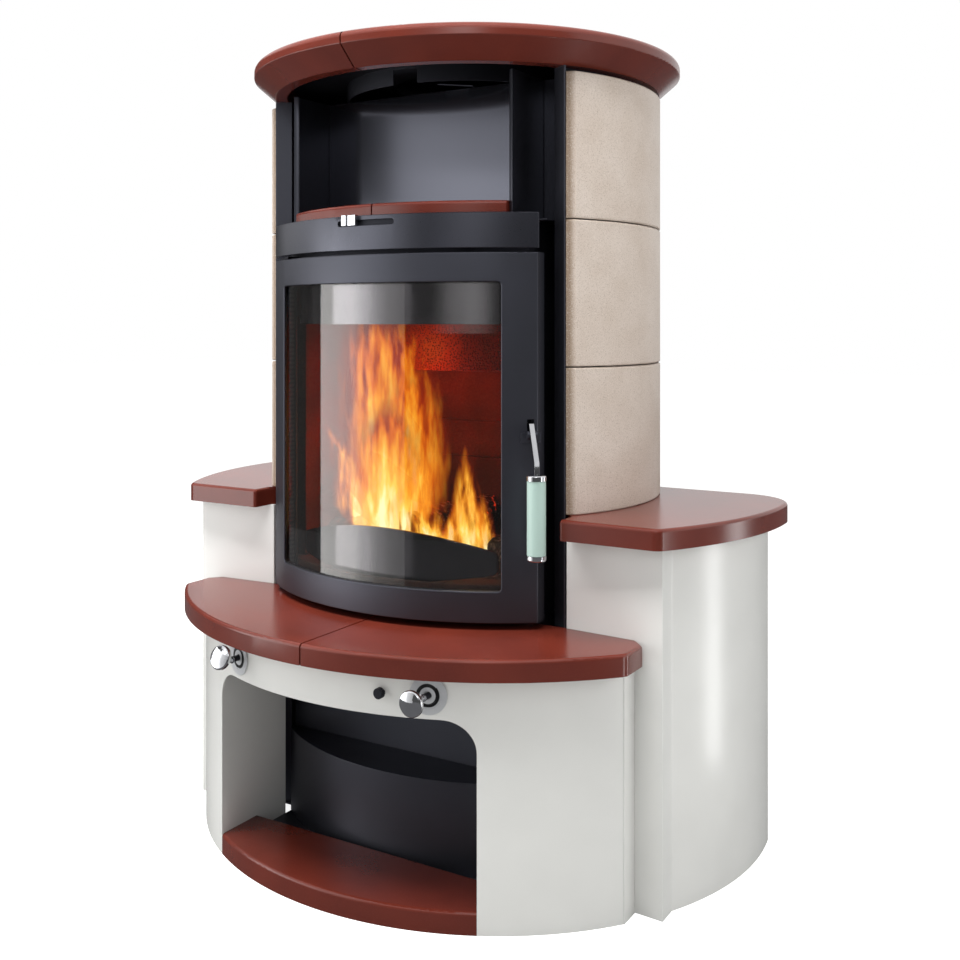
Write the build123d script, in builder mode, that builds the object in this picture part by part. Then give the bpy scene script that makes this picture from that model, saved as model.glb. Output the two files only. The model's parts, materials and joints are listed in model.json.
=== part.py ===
from build123d import *

import os
from math import asin, cos, degrees, radians, sin, sqrt

# A free-standing tiled wood stove: a drum of steel with beige tiles on both sides, a glazed
# top plate, a warming niche, a curved glass door, and a white base with a log store and two
# side wings under glazed slabs.  Millimetres, +Z up, floor at z = 0, front towards -Y.
# The origin lies on the floor under the centre of the round top plate.

# ---------------------------------------------------------------- driving dimensions
stove_height = 1420.0
rear_y = 205.0                 # flat back of slabs, casing and top plate
sheet = 3.0                    # steel casing sheet
thin_sheet = 2.0
seam = 3.0                     # joint between the two halves of a glazed slab
fit_gap = 0.3                  # seat clearance between pieces that touch
running_gap = 0.05             # radial clearance of a pin or shaft in its bore

# base: one circle carries bench, shells and wings
base_axis_y = 76.0
slab_radius = 588.0
slab_overhang = 40.0
slab_thickness = 34.0
slab_edge_round = 6.0
bench_top_z = 433.0
bench_end_inset = 130.0        # ends of the bench slab, in from its circle
bench_corner_chamfer = 15.0
bench_facet_inset = 110.0      # end facets of the bench shell, in from its circle
bench_back_y = -204.0
bench_end_back_y = -217.0
wing_top_z = 619.0
wing_slab_lap = 8.0            # wing slab over the inner edge of its shell
wing_front_y = -248.0
wing_corner_round = 20.0
wing_rear_round = 95.0
shell_wall = 4.0
shell_corner_round = 8.0
wing_corner_inset = 62.0       # front corner of the wing shell, in from its circle
wing_shell_gap = 2.4           # between a column and the wing shell beside it
wing_shell_front_y = -203.0
wing_shell_slant = 0.08        # the wing front leans forward towards the outside

# log store in the base
store_half_width = 260.0
store_top_z = 328.0
store_corner_round = 50.0
store_wall_back_y = -232.0
store_ceiling_z = 330.0
store_plate_height = 35.0
store_plate_back_y = -315.0
drum_radius = 430.0
drum_axis_y = 126.0
drum_height = 168.0
foot_height = 8.0
foot_radius = 18.0
foot_pitch_x = 360.0
foot_pitch_y = 310.0
tray_half_width = 470.0
tray_front_y = -195.0
pedestal_inset = 3.0           # side of the pedestal, in from the side of the firebox
pedestal_front_y = -200.0
pedestal_wall = 4.0

# tiled jacket
jacket_axis_y = -10.0
tile_radius = 374.0
tile_thickness = 28.0
tile_head_gap = 9.6            # between the upper tiles and the underside of the top plate
tile_joint = 2.0
tile_courses = 3
tile_bevel_depth = 9.0
tile_bevel_run = 13.0
tile_edge_round = 3.0
jacket_rear_angle = 115.0
column_angle = 58.1
column_width = 32.0
column_inset = 10.0            # outer edge of the column, in from the tile face
column_leg_angle = 7.0
column_edge_round = 1.3
carrier_gap = 0.3

# top plate
plate_overhang = 33.0          # rim of the top plate beyond the face of the tiles
plate_rim_run = 39.0           # slope under the rim, inwards
plate_rim_width = 23.0         # underside of the rim, down to the hollow behind it
plate_rim_height = 22.0
plate_height = 55.4
plate_top_round = 12.0
plate_arris_round = 3.0
plate_slab_thickness = 25.0
plate_rear_rim = 20.0
lid_radius = 149.0
lid_gap = 1.0
ring_radius = 230.0
ring_drop = 3.6                # ring below the underside of the plate
ring_notch_from_x = -15.0
ring_notch_to_x = 34.0
ring_notch_depth = 27.0

# firebox body, door and cover share one curved front
front_axis_y = 92.0
door_radius = 432.0
door_skin = 5.0
door_depth = 18.0
door_rim = 3.0
door_edge_round = 2.0
door_lap = 25.0                # door beyond the side of the firebox
door_bottom_z = 444.0
door_top_drop = 54.0           # top of the door below the top of the firebox
door_border = 50.0             # door frame beside the glass
glass_bottom_z = 496.0
door_head = 49.0               # door frame above the glass
glass_lap = 10.0
glass_thickness = 4.0
gasket_thickness = 1.0
inner_frame_thickness = 4.0
inner_frame_lap = 22.0         # inner frame beyond the opening of the glass
seal_width = 10.0
seal_inset = 10.0
door_standoff = 28.0           # door face in front of the firebox face
body_side_gap = 28.86          # between the firebox and a column
body_bottom_z = 440.0
body_top_drop = 312.0          # top of the firebox below the top of the stove
body_rear_y = 150.0
body_wall = 4.0
mouth_inset = 31.0             # opening of the firebox, in from its side
mouth_bottom_z = 452.0
mouth_drop = 78.0              # opening of the firebox below its top
cover_lap = 1.0                # cover beyond the door at each side
cover_gap = 7.0                # between the door and the cover above it
cover_rise = 12.0              # cover above the top of the firebox
cover_skin = 3.0
cover_edge_round = 1.2
slot_half_length = 58.0
slot_drop = 8.0                # slot below the upper edge of the cover
slot_height = 9.0
slider_rest_x = -27.0

# hinge and handle
hinge_inset = 8.0              # hinge, in from the edge of the door
hinge_depth = 19.24            # hinge behind the face of the door
hinge_pin_radius = 4.0
hinge_boss_radius = 8.0
boss_height = 20.0
lower_hinge_plate = 6.0
upper_hinge_plate = 4.0
handle_inset = 9.0             # where the lever leaves the door skin, in from its edge
handle_pivot_out = 12.0
handle_pivot_z = 754.0
lever_thickness = 9.0
lever_head_rise = 14.0         # arm of the lever above its pivot
lever_bend_rise = 18.0         # bend of the lever above the upper cap of the grip
lever_shoulder = 6.0           # where the arm starts to lean outwards
lever_width = 8.0
grip_out = 48.0
grip_radius = 15.3
grip_bore = 11.0
grip_bottom_z = 565.0
grip_top_z = 685.0
grip_cap_height = 9.0
grip_cap_radius = 16.0
cap_round = 3.0

# niche above the firebox
niche_slab_inset = 19.0        # middle of the niche slab, behind the inner face of the cover
niche_slab_axis_y = 62.0
niche_inset = 21.0             # niche cheek, in from the side of the firebox
niche_cheek_lead = 2.0         # niche cheek in front of the corner of its slab
niche_back_y = -138.0
niche_fold = 8.0
recess_back_y = -125.0
recess_deck_front_y = -213.0

# fireproof lining and what stands in the fire
lining = 28.0
brick_joint = 0.6
hearth_z = 500.0
lining_drop = 158.0            # top of the lining below the top of the firebox
rear_course_shares = (0.0, 0.3644, 0.5289, 0.7689, 1.0)
grate_half_width = 130.0
grate_front_y = -225.0
grate_rear_y = 95.0
grate_thickness = 10.0
grate_rebate = 8.0
grate_bar_pitch = 20.0
ash_pan_half_width = 119.0
ash_pan_height = 38.0
guard_setback = 42.0           # log guard behind the face of the door
guard_inset = 25.0             # end of the log guard, in from the edge of the glass
guard_height = 85.0
guard_crown = 34.0             # top edge of the log guard, higher in the middle than at the ends
guard_foot_half_width = 100.0  # part of the log guard's lower edge that stands on the hearth
guard_end_lift = 14.0          # lower edge of the log guard, higher at the ends
guard_round = 12.0

# flue
flue_radius = 75.0
flue_wall = 2.0
flue_neck_step = 1.0
flue_flange = 12.0
flue_drop = 190.0              # axis of the flue below the top of the stove
flue_reach = 60.0              # spigot beyond the flat back
collector_half_width = 115.0
collector_front_y = 15.0
collector_drop = 90.0          # top of the smoke collector below the top of the stove

# controls on the bench front
control_x = 192.0
control_z = 365.0
rosette_radius = 30.0
rosette_thickness = 2.5
control_shaft_radius = 5.0
knob_radius = 20.5
knob_reach = 58.0
knob_rise = {"left": 20.0, "right": 0.0}
knob_stem_radius = 5.0
knob_cap_length = 14.0
knob_dome = 6.0
knob_round = 3.5
knob_hub_radius = 6.0
knob_hub_length = 6.0
pull_x = 122.0
pull_rod_radius = 3.0
pull_knob_radius = 8.5

# ---------------------------------------------------------------- worked-out values
shell_radius = slab_radius - slab_overhang
column_outer_radius = tile_radius - column_inset
column_inner_radius = column_outer_radius - column_width
column_end_angle = column_angle + degrees(sheet / column_outer_radius)
wing_shell_inner_x = column_outer_radius * sin(radians(column_end_angle)) + wing_shell_gap
wing_inner_x = wing_shell_inner_x + wing_slab_lap
plate_radius = tile_radius + plate_overhang
plate_low_radius = plate_radius - plate_rim_run
plate_rim_inner_radius = plate_low_radius - plate_rim_width
body_top_z = stove_height - body_top_drop
mouth_top_z = body_top_z - mouth_drop
door_top_z = body_top_z - door_top_drop
glass_top_z = door_top_z - door_head
cover_bottom_z = door_top_z + cover_gap
cover_top_z = body_top_z + cover_rise
slot_top_z = cover_top_z - slot_drop
slot_bottom_z = slot_top_z - slot_height
lining_top_z = body_top_z - lining_drop
rear_courses_z = [hearth_z + share * (lining_top_z - hearth_z) for share in rear_course_shares]
guard_radius = door_radius - guard_setback
body_half_width = column_inner_radius * sin(radians(column_angle)) - body_side_gap
mouth_half_width = body_half_width - mouth_inset
pedestal_half_width = body_half_width - pedestal_inset
door_half_width = body_half_width + door_lap
cover_half_width = door_half_width + cover_lap
glass_half_width = door_half_width - door_border
inner_frame_half_width = glass_half_width + inner_frame_lap
guard_half_width = glass_half_width - guard_inset
niche_half_width = body_half_width - niche_inset
niche_slab_radius = niche_slab_axis_y - front_axis_y + door_radius - cover_skin - niche_slab_inset
hinge_x = hinge_inset - door_half_width
handle_x = door_half_width - handle_inset
bench_end_x = slab_radius - bench_end_inset
bench_facet_x = shell_radius - bench_facet_inset
wing_corner_x = shell_radius - wing_corner_inset
plate_arris_z = stove_height - plate_rim_height
plate_low_z = stove_height - plate_height
ring_bottom_z = plate_low_z - ring_drop
tile_top_z = plate_low_z - tile_head_gap
flue_z = stove_height - flue_drop
collector_top_z = stove_height - collector_drop
bench_under_z = bench_top_z - slab_thickness
wing_under_z = wing_top_z - slab_thickness
niche_floor_z = body_top_z + slab_thickness
plate_slab_z = stove_height - plate_slab_thickness
tray_top_z = foot_height + sheet
tile_height = (tile_top_z - wing_top_z - (tile_courses - 1) * tile_joint) / tile_courses
tile_inner_radius = tile_radius - tile_thickness
carrier_radius = tile_inner_radius - carrier_gap
tile_front_angle = column_angle + degrees((sheet + fit_gap) / column_outer_radius)
body_front_radius = door_radius - door_standoff
glass_outer_radius = door_radius - door_skin - gasket_thickness
glass_inner_radius = glass_outer_radius - glass_thickness
inner_frame_radius = glass_inner_radius - inner_frame_thickness
handle_angle = degrees(asin(handle_x / door_radius))
slider_angle = degrees(asin(slider_rest_x / door_radius))
upper_hinge_z = door_top_z + 1

os.makedirs("parts", exist_ok=True)
SIDES = (("left", -1), ("right", 1))


def save(builder, node):
    """Label a finished piece and write its own STEP file."""
    builder.part.label = node
    export_step(builder.part, f"parts/{node}.step")


def front_y(axis_y, radius, x):
    """Y of a forward-facing circle at a given x."""
    return axis_y - sqrt(radius**2 - x**2)


def polar(axis_y, radius, angle):
    """Plan point on a circle about (0, axis_y); angle 0 points to the front, 90 to the right."""
    return (radius * sin(radians(angle)), axis_y - radius * cos(radians(angle)))


hinge_y = front_y(front_axis_y, door_radius, hinge_x) + hinge_depth
niche_front_y = front_y(niche_slab_axis_y, niche_slab_radius, niche_half_width) - niche_cheek_lead
carrier_end = polar(jacket_axis_y, carrier_radius - sheet, jacket_rear_angle)
casing_half = carrier_end[0] - fit_gap
casing_x = casing_half + fit_gap   # wing slabs end here beside the rear casing


def wing_shell_y(x):
    """Front face of the wing shell at a given x."""
    return wing_shell_front_y - wing_shell_slant * (x - wing_shell_inner_x)


def jacket_distance(edge):
    """Least plan distance of an edge's two ends from the axis of the tiled jacket."""
    return min(sqrt(end.X**2 + (end.Y - jacket_axis_y) ** 2) for end in (edge @ 0, edge @ 1))


def band_sketch(axis_y, outer, inner, half_width):
    """Plan of a curved front panel between two radii, cut square at both ends."""
    with Locations((0, axis_y)):
        Circle(outer)
        Circle(inner, mode=Mode.SUBTRACT)
    with Locations((0, axis_y - outer / 2 - sheet)):
        Rectangle(2 * half_width, outer, mode=Mode.INTERSECT)


def front_window(half_width, low_z, high_z, corner, reach):
    """Cut an upright window with round corners through the curved front, from y = -reach to 0."""
    with BuildSketch(Plane.XZ) as window:
        with Locations((0, (low_z + high_z) / 2)):
            RectangleRounded(2 * half_width, high_z - low_z, corner)
    extrude(window.sketch, amount=reach, mode=Mode.SUBTRACT)


def on_front_face(edge):
    """Whether both ends of an edge lie on the outer face shared by the door and the cover."""
    ends = (edge @ 0, edge @ 1)
    return all(abs(sqrt(end.X**2 + (end.Y - front_axis_y) ** 2) - door_radius) < seam / 100 for end in ends)


def mirror_if_left(side):
    """Turn the right-hand piece being built into the left-hand one."""
    if side < 0:
        mirror(about=Plane.YZ, mode=Mode.REPLACE)


def radial_plane(axis_y, radius, angle):
    """Upright plane with x outwards along the radius and y upwards."""
    x, y = polar(axis_y, radius, angle)
    a = radians(angle)
    return Plane(origin=(x, y, 0), x_dir=(sin(a), -cos(a), 0), z_dir=(-cos(a), -sin(a), 0))


def control_plane(x, y):
    """Upright plane square to the Y axis, its normal pointing to the front."""
    return Plane(origin=(x, y, control_z), x_dir=(1, 0, 0), z_dir=(0, -1, 0))


# ================================================================ base
# Levelling feet carry the floor tray, the tray carries the pedestal and the columns.
# One foot stands at the origin, six more round the tray.
with BuildPart() as levelling_feet:
    with BuildSketch():
        Circle(foot_radius)
        with GridLocations(foot_pitch_x, foot_pitch_y, 3, 2):
            Circle(foot_radius)
    extrude(amount=foot_height)
save(levelling_feet, "levelling_feet")

with BuildPart() as floor_tray:
    with BuildSketch(Plane.XY.offset(foot_height)):
        tray_rear_y = rear_y - 3 * shell_wall - fit_gap
        with Locations((0, (tray_front_y + tray_rear_y) / 2)):
            Rectangle(2 * tray_half_width, tray_rear_y - tray_front_y)
        tray_tongue_y = store_plate_back_y + fit_gap
        with Locations((0, (tray_tongue_y + tray_front_y) / 2)):
            Rectangle(2 * (store_half_width - thin_sheet), tray_front_y - tray_tongue_y)
    extrude(amount=sheet)
save(floor_tray, "floor_tray")

with BuildPart() as pedestal:
    with BuildSketch(Plane.XY.offset(tray_top_z)):
        with Locations((0, (pedestal_front_y + body_rear_y) / 2)):
            Rectangle(2 * pedestal_half_width, body_rear_y - pedestal_front_y)
            Rectangle(
                2 * (pedestal_half_width - pedestal_wall),
                body_rear_y - pedestal_front_y - 2 * pedestal_wall,
                mode=Mode.SUBTRACT,
            )
    extrude(amount=body_bottom_z - tray_top_z)
    with BuildSketch(Plane.XZ):
        with Locations((-control_x, control_z), (control_x, control_z)):
            Circle(control_shaft_radius + running_gap)
        with Locations((pull_x, control_z)):
            Circle(pull_rod_radius + running_gap)
    extrude(amount=-2 * pedestal_front_y, mode=Mode.SUBTRACT)
save(pedestal, "pedestal")

# White shell of the bench: curved front with the log-store arch, end facets and store walls.
with BuildPart() as bench_shell:
    with BuildSketch():
        band_sketch(base_axis_y, shell_radius, shell_radius - shell_wall, bench_facet_x)
    extrude(amount=bench_under_z)
    with BuildSketch(Plane.XZ):
        with Locations((0, (store_top_z - store_corner_round) / 2)):
            RectangleRounded(2 * store_half_width, store_top_z + store_corner_round, store_corner_round)
    extrude(amount=2 * shell_radius, mode=Mode.SUBTRACT)
    facet_front_y = front_y(base_axis_y, shell_radius - shell_wall / 2, bench_facet_x - shell_wall)
    facet_back_y = wing_shell_y(bench_facet_x) - fit_gap
    wall_front_y = front_y(base_axis_y, shell_radius - shell_wall / 2, store_half_width + shell_wall)
    for side in (-1, 1):
        with BuildSketch():
            with Locations((side * (bench_facet_x - shell_wall / 2), (facet_front_y + facet_back_y) / 2)):
                Rectangle(shell_wall, facet_back_y - facet_front_y)
            wall_x = side * (store_half_width + shell_wall / 2)
            with Locations((wall_x, (wall_front_y + store_wall_back_y) / 2)):
                Rectangle(shell_wall, store_wall_back_y - wall_front_y)
        extrude(amount=bench_under_z)
    knob_bores = [(-control_x, control_shaft_radius), (control_x, control_shaft_radius)]
    knob_bores.append((pull_x, pull_rod_radius))
    for x, bore in knob_bores:
        with BuildSketch(control_plane(x, 0)):
            Circle(bore + running_gap)
        extrude(amount=2 * shell_radius, mode=Mode.SUBTRACT)
save(bench_shell, "bench_shell")

# Glazed bench slab in two halves, resting on the shell.
for name, side in SIDES:
    with BuildPart() as bench_slab:
        with BuildSketch(Plane.XY.offset(bench_under_z)):
            with BuildLine():
                arc_start = (seam / 2, front_y(base_axis_y, slab_radius, seam / 2))
                arc_mid = polar(base_axis_y, slab_radius, 25)
                arc_end = (bench_end_x, front_y(base_axis_y, slab_radius, bench_end_x))
                ThreePointArc(arc_start, arc_mid, arc_end)
                back_corner_x = bench_end_x - bench_corner_chamfer
                Polyline(
                    arc_end,
                    (bench_end_x, bench_end_back_y - bench_corner_chamfer),
                    (back_corner_x, wing_shell_y(back_corner_x) - fit_gap),
                    (wing_shell_inner_x, bench_back_y - fit_gap),
                    (seam / 2, bench_back_y - fit_gap),
                    arc_start,
                )
            make_face()
            front_corner = (bench_end_x, arc_end[1], bench_under_z)
            fillet(vertices().sort_by_distance(front_corner)[0], wing_corner_round)
        extrude(amount=slab_thickness)
        upper = edges().group_by(Axis.Z)[-1]
        free = [e for e in upper if e.center().Y < bench_end_back_y and e.center().X > seam]
        fillet(free, slab_edge_round)
        mirror_if_left(side)
    save(bench_slab, f"bench_slab_{name}")

# White wing shells and their glazed slabs.
with BuildPart() as wing_shells:
    with BuildSketch():
        with BuildLine():
            rear_round = wing_rear_round - slab_overhang
            shell_back_y = rear_y - shell_wall
            outer_start = (wing_corner_x, front_y(base_axis_y, shell_radius, wing_corner_x))
            outer_mid = polar(base_axis_y, shell_radius, 80)
            outer_end_x = sqrt(shell_radius**2 - (shell_back_y - base_axis_y) ** 2)
            ThreePointArc(outer_start, outer_mid, (outer_end_x, shell_back_y))
            Polyline(
                (outer_end_x, shell_back_y),
                (wing_shell_inner_x, shell_back_y),
                (wing_shell_inner_x, wing_shell_y(wing_shell_inner_x)),
                (wing_corner_x, wing_shell_y(wing_corner_x)),
                outer_start,
            )
        make_face()
        fillet(vertices().sort_by_distance((outer_end_x, shell_back_y, 0))[0], rear_round)
        fillet(vertices().sort_by_distance((*outer_start, 0))[0], shell_corner_round)
        offset(amount=-shell_wall, mode=Mode.SUBTRACT)
    extrude(amount=wing_under_z)
    # the inner side stays open towards the pedestal
    opening_depth = shell_back_y - wing_shell_y(wing_shell_inner_x) - 4 * shell_wall
    with BuildSketch():
        with Locations((wing_shell_inner_x, (shell_back_y + wing_shell_y(wing_shell_inner_x)) / 2)):
            Rectangle(3 * shell_wall, opening_depth)
    extrude(amount=wing_under_z, mode=Mode.SUBTRACT)
    mirror(about=Plane.YZ)
save(wing_shells, "wing_shells")

for name, side in SIDES:
    with BuildPart() as wing_slab:
        with BuildSketch(Plane.XY.offset(wing_under_z)):
            with BuildLine():
                inner_edge_radius = carrier_radius - 2 * sheet
                corner_front_x = sqrt(slab_radius**2 - (wing_front_y - base_axis_y) ** 2)
                outer_end_x = sqrt(slab_radius**2 - (rear_y - base_axis_y) ** 2)
                jacket_start = polar(jacket_axis_y, inner_edge_radius, column_angle + 3)
                jacket_mid = polar(jacket_axis_y, inner_edge_radius, 80)
                jacket_end_angle = 180 - degrees(asin(casing_x / inner_edge_radius))
                jacket_end = polar(jacket_axis_y, inner_edge_radius, jacket_end_angle)
                ThreePointArc(
                    (corner_front_x, wing_front_y),
                    polar(base_axis_y, slab_radius, 80),
                    (outer_end_x, rear_y),
                )
                Polyline((outer_end_x, rear_y), (casing_x, rear_y), jacket_end)
                ThreePointArc(jacket_end, jacket_mid, jacket_start)
                Polyline(
                    jacket_start,
                    (wing_inner_x, wing_shell_front_y),
                    (wing_inner_x, wing_front_y),
                    (corner_front_x, wing_front_y),
                )
            make_face()
            fillet(vertices().sort_by_distance((outer_end_x, rear_y, wing_under_z))[0], wing_rear_round)
            outer_corner = (corner_front_x, wing_front_y, wing_under_z)
            fillet(vertices().sort_by_distance(outer_corner)[0], wing_corner_round)
            inner_corner = (wing_inner_x, wing_front_y, wing_under_z)
            fillet(vertices().sort_by_distance(inner_corner)[0], slab_edge_round)
        extrude(amount=slab_thickness)
        upper = edges().group_by(Axis.Z)[-1]
        side_x = casing_x + slab_overhang
        free = [e for e in upper if e.center().Y < wing_shell_front_y or e.center().X > side_x]
        fillet([e for e in free if e.center().Y < rear_y - sheet], slab_edge_round)
        mirror_if_left(side)
    save(wing_slab, f"wing_slab_{name}")

# ---------------------------------------------------------------- log store
with BuildPart() as store_plate:
    with BuildSketch():
        with Locations((0, base_axis_y)):
            Circle(shell_radius)
        with Locations((0, store_plate_back_y - shell_radius / 2)):
            Rectangle(2 * (store_half_width - fit_gap), shell_radius, mode=Mode.INTERSECT)
    extrude(amount=store_plate_height)
    fillet(edges().group_by(Axis.Z)[-1].filter_by(GeomType.CIRCLE), slab_edge_round)
save(store_plate, "store_plate")

store_inner_half = store_half_width - fit_gap
store_back_y = pedestal_front_y - thin_sheet
with BuildPart() as store_drum:
    with BuildSketch(Plane.XY.offset(tray_top_z)):
        band_sketch(drum_axis_y, drum_radius, drum_radius - thin_sheet, store_inner_half)
    extrude(amount=drum_height - thin_sheet - tray_top_z)
    with BuildSketch(Plane.XY.offset(drum_height - thin_sheet)):
        with Locations((0, drum_axis_y)):
            Circle(drum_radius)
        with Locations((0, store_back_y - drum_radius / 2)):
            Rectangle(2 * store_inner_half, drum_radius, mode=Mode.INTERSECT)
    extrude(amount=thin_sheet)
save(store_drum, "store_drum")

# back panel and ceiling of the store, folded from one sheet
with BuildPart() as store_lining:
    with BuildSketch(Plane.XY.offset(tray_top_z)):
        with Locations((0, pedestal_front_y - thin_sheet / 2)):
            Rectangle(2 * store_inner_half, thin_sheet)
    extrude(amount=bench_under_z - sheet - tray_top_z)
    with BuildSketch(Plane.XY.offset(store_ceiling_z)):
        with Locations((0, base_axis_y)):
            Circle(shell_radius - shell_wall)
        with Locations((0, store_back_y - shell_radius / 2)):
            Rectangle(2 * store_inner_half, shell_radius, mode=Mode.INTERSECT)
    extrude(amount=thin_sheet)
    for x, r in knob_bores:
        with BuildSketch(control_plane(x, 0)):
            Circle(r + 1)
        extrude(amount=-2 * pedestal_front_y, mode=Mode.SUBTRACT)
save(store_lining, "store_lining")

# ================================================================ casing and jacket
casing_low_half = wing_shell_inner_x - fit_gap
casing_leg_y = carrier_end[1] - 3 * sheet
with BuildPart() as rear_casing:
    casing_parts = ((casing_low_half, tray_top_z, wing_under_z), (casing_half, wing_under_z, plate_low_z))
    for half, low, high in casing_parts:
        with BuildSketch(Plane.XY.offset(low)):
            with Locations((0, rear_y - sheet / 2)):
                Rectangle(2 * half, sheet)
            for side in (-1, 1):
                with Locations((side * (half - sheet / 2), (casing_leg_y + rear_y) / 2)):
                    Rectangle(sheet, rear_y - casing_leg_y)
        extrude(amount=high - low)
    with BuildSketch(Plane.XZ):
        with Locations((0, flue_z)):
            Circle(flue_radius + 1)
    extrude(amount=-2 * rear_y, mode=Mode.SUBTRACT)
save(rear_casing, "rear_casing")

with BuildPart() as columns:
    leg_angle = column_angle + column_leg_angle
    with BuildSketch(Plane.XY.offset(tray_top_z)):
        with BuildLine():
            Polyline(
                polar(jacket_axis_y, column_inner_radius, column_angle),
                polar(jacket_axis_y, column_outer_radius, column_angle),
                polar(jacket_axis_y, column_outer_radius, column_end_angle),
                polar(jacket_axis_y, column_inner_radius + sheet, column_end_angle),
            )
            ThreePointArc(
                polar(jacket_axis_y, column_inner_radius + sheet, column_end_angle),
                polar(jacket_axis_y, column_inner_radius + sheet, (column_end_angle + leg_angle) / 2),
                polar(jacket_axis_y, column_inner_radius + sheet, leg_angle),
            )
            Line(
                polar(jacket_axis_y, column_inner_radius + sheet, leg_angle),
                polar(jacket_axis_y, column_inner_radius, leg_angle),
            )
            ThreePointArc(
                polar(jacket_axis_y, column_inner_radius, leg_angle),
                polar(jacket_axis_y, column_inner_radius, (column_angle + leg_angle) / 2),
                polar(jacket_axis_y, column_inner_radius, column_angle),
            )
        make_face()
        for radius in (column_inner_radius, column_outer_radius):
            front_corner = (*polar(jacket_axis_y, radius, column_angle), tray_top_z)
            fillet(vertices().sort_by_distance(front_corner)[0], column_edge_round)
    extrude(amount=plate_low_z - tray_top_z)
    mirror(about=Plane.YZ)
save(columns, "columns")

with BuildPart() as tile_carriers:
    inner = carrier_radius - sheet
    mid_angle = (tile_front_angle + jacket_rear_angle) / 2
    arc_angles = (tile_front_angle, mid_angle, jacket_rear_angle)
    outer_arc = [polar(jacket_axis_y, carrier_radius, a) for a in arc_angles]
    inner_arc = [polar(jacket_axis_y, inner, a) for a in (jacket_rear_angle, mid_angle, tile_front_angle)]
    with BuildSketch(Plane.XY.offset(wing_top_z)):
        with BuildLine():
            ThreePointArc(*outer_arc)
            Line(outer_arc[-1], inner_arc[0])
            ThreePointArc(*inner_arc)
            Line(inner_arc[-1], outer_arc[0])
        make_face()
    extrude(amount=plate_low_z - wing_top_z)
    mirror(about=Plane.YZ)
save(tile_carriers, "tile_carriers")

for name, side in SIDES:
    with BuildPart() as tiles:
        bevel_angle = tile_front_angle + degrees(tile_bevel_run / tile_radius)
        mid_angle = (bevel_angle + jacket_rear_angle) / 2
        end_face = polar(jacket_axis_y, tile_radius - tile_bevel_depth, tile_front_angle)
        face_angles = (bevel_angle, mid_angle, jacket_rear_angle)
        outer_arc = [polar(jacket_axis_y, tile_radius, a) for a in face_angles]
        inner_arc = [polar(jacket_axis_y, tile_inner_radius, a)
                     for a in (jacket_rear_angle, mid_angle, tile_front_angle)]
        for course in range(tile_courses):
            base_z = wing_top_z + course * (tile_height + tile_joint)
            with BuildSketch(Plane.XY.offset(base_z)):
                with BuildLine():
                    Polyline(inner_arc[-1], end_face, outer_arc[0])
                    ThreePointArc(*outer_arc)
                    Line(outer_arc[-1], inner_arc[0])
                    ThreePointArc(*inner_arc)
                make_face()
            extrude(amount=tile_height)
        visible_radius = tile_radius - tile_bevel_depth - tile_edge_round
        fillet([e for e in edges() if jacket_distance(e) > visible_radius], tile_edge_round)
        mirror_if_left(side)
    save(tiles, f"tiles_{name}")

# ================================================================ top
for name, side in SIDES:
    with BuildPart() as top_plate:
        with BuildSketch(Plane.XZ):
            with BuildLine():
                Polyline(
                    (lid_radius + lid_gap, stove_height),
                    (plate_radius, stove_height),
                    (plate_radius, plate_arris_z),
                    (plate_low_radius, plate_low_z),
                    (lid_radius + lid_gap, plate_low_z),
                    (lid_radius + lid_gap, stove_height),
                )
            make_face()
            fillet(vertices().sort_by_distance((plate_radius, stove_height))[0], plate_top_round)
            fillet(vertices().sort_by_distance((plate_radius, plate_arris_z))[0], plate_arris_round)
            fillet(vertices().sort_by_distance((plate_low_radius, plate_low_z))[0], plate_arris_round)
        revolve(axis=Axis.Z)
        with BuildSketch(Plane.XY.offset(plate_low_z)):
            with Locations((side * (seam / 2 + plate_radius), rear_y - plate_radius)):
                Rectangle(2 * plate_radius, 2 * plate_radius)
        extrude(amount=stove_height - plate_low_z, mode=Mode.INTERSECT)
        with BuildSketch(Plane.XY.offset(plate_low_z)):
            Circle(plate_rim_inner_radius)
            with Locations((0, rear_y - plate_rear_rim - plate_radius)):
                Rectangle(2 * plate_radius, 2 * plate_radius, mode=Mode.INTERSECT)
        extrude(amount=plate_slab_z - plate_low_z, mode=Mode.SUBTRACT)
    save(top_plate, f"top_plate_{name}")

with BuildPart() as top_ring:
    with BuildSketch(Plane.XY.offset(ring_bottom_z)):
        Circle(ring_radius)
        Circle(ring_radius - sheet, mode=Mode.SUBTRACT)
        with Locations((0, rear_y - plate_rear_rim - plate_radius - fit_gap)):
            Rectangle(2 * plate_radius, 2 * plate_radius, mode=Mode.INTERSECT)
    extrude(amount=plate_slab_z - ring_bottom_z)
    with BuildSketch(Plane.XY.offset(plate_slab_z - sheet)):
        Circle(plate_rim_inner_radius - 2 * sheet)
        Circle(lid_radius - 4 * sheet, mode=Mode.SUBTRACT)
        with Locations((0, rear_y - plate_rear_rim - plate_radius - fit_gap)):
            Rectangle(2 * plate_radius, 2 * plate_radius, mode=Mode.INTERSECT)
    extrude(amount=sheet)
    with BuildSketch(Plane.XY.offset(ring_bottom_z)):
        with Locations(((ring_notch_from_x + ring_notch_to_x) / 2, -ring_radius)):
            Rectangle(ring_notch_to_x - ring_notch_from_x, ring_radius / 3)
    extrude(amount=ring_notch_depth, mode=Mode.SUBTRACT)
save(top_ring, "top_ring")

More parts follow.
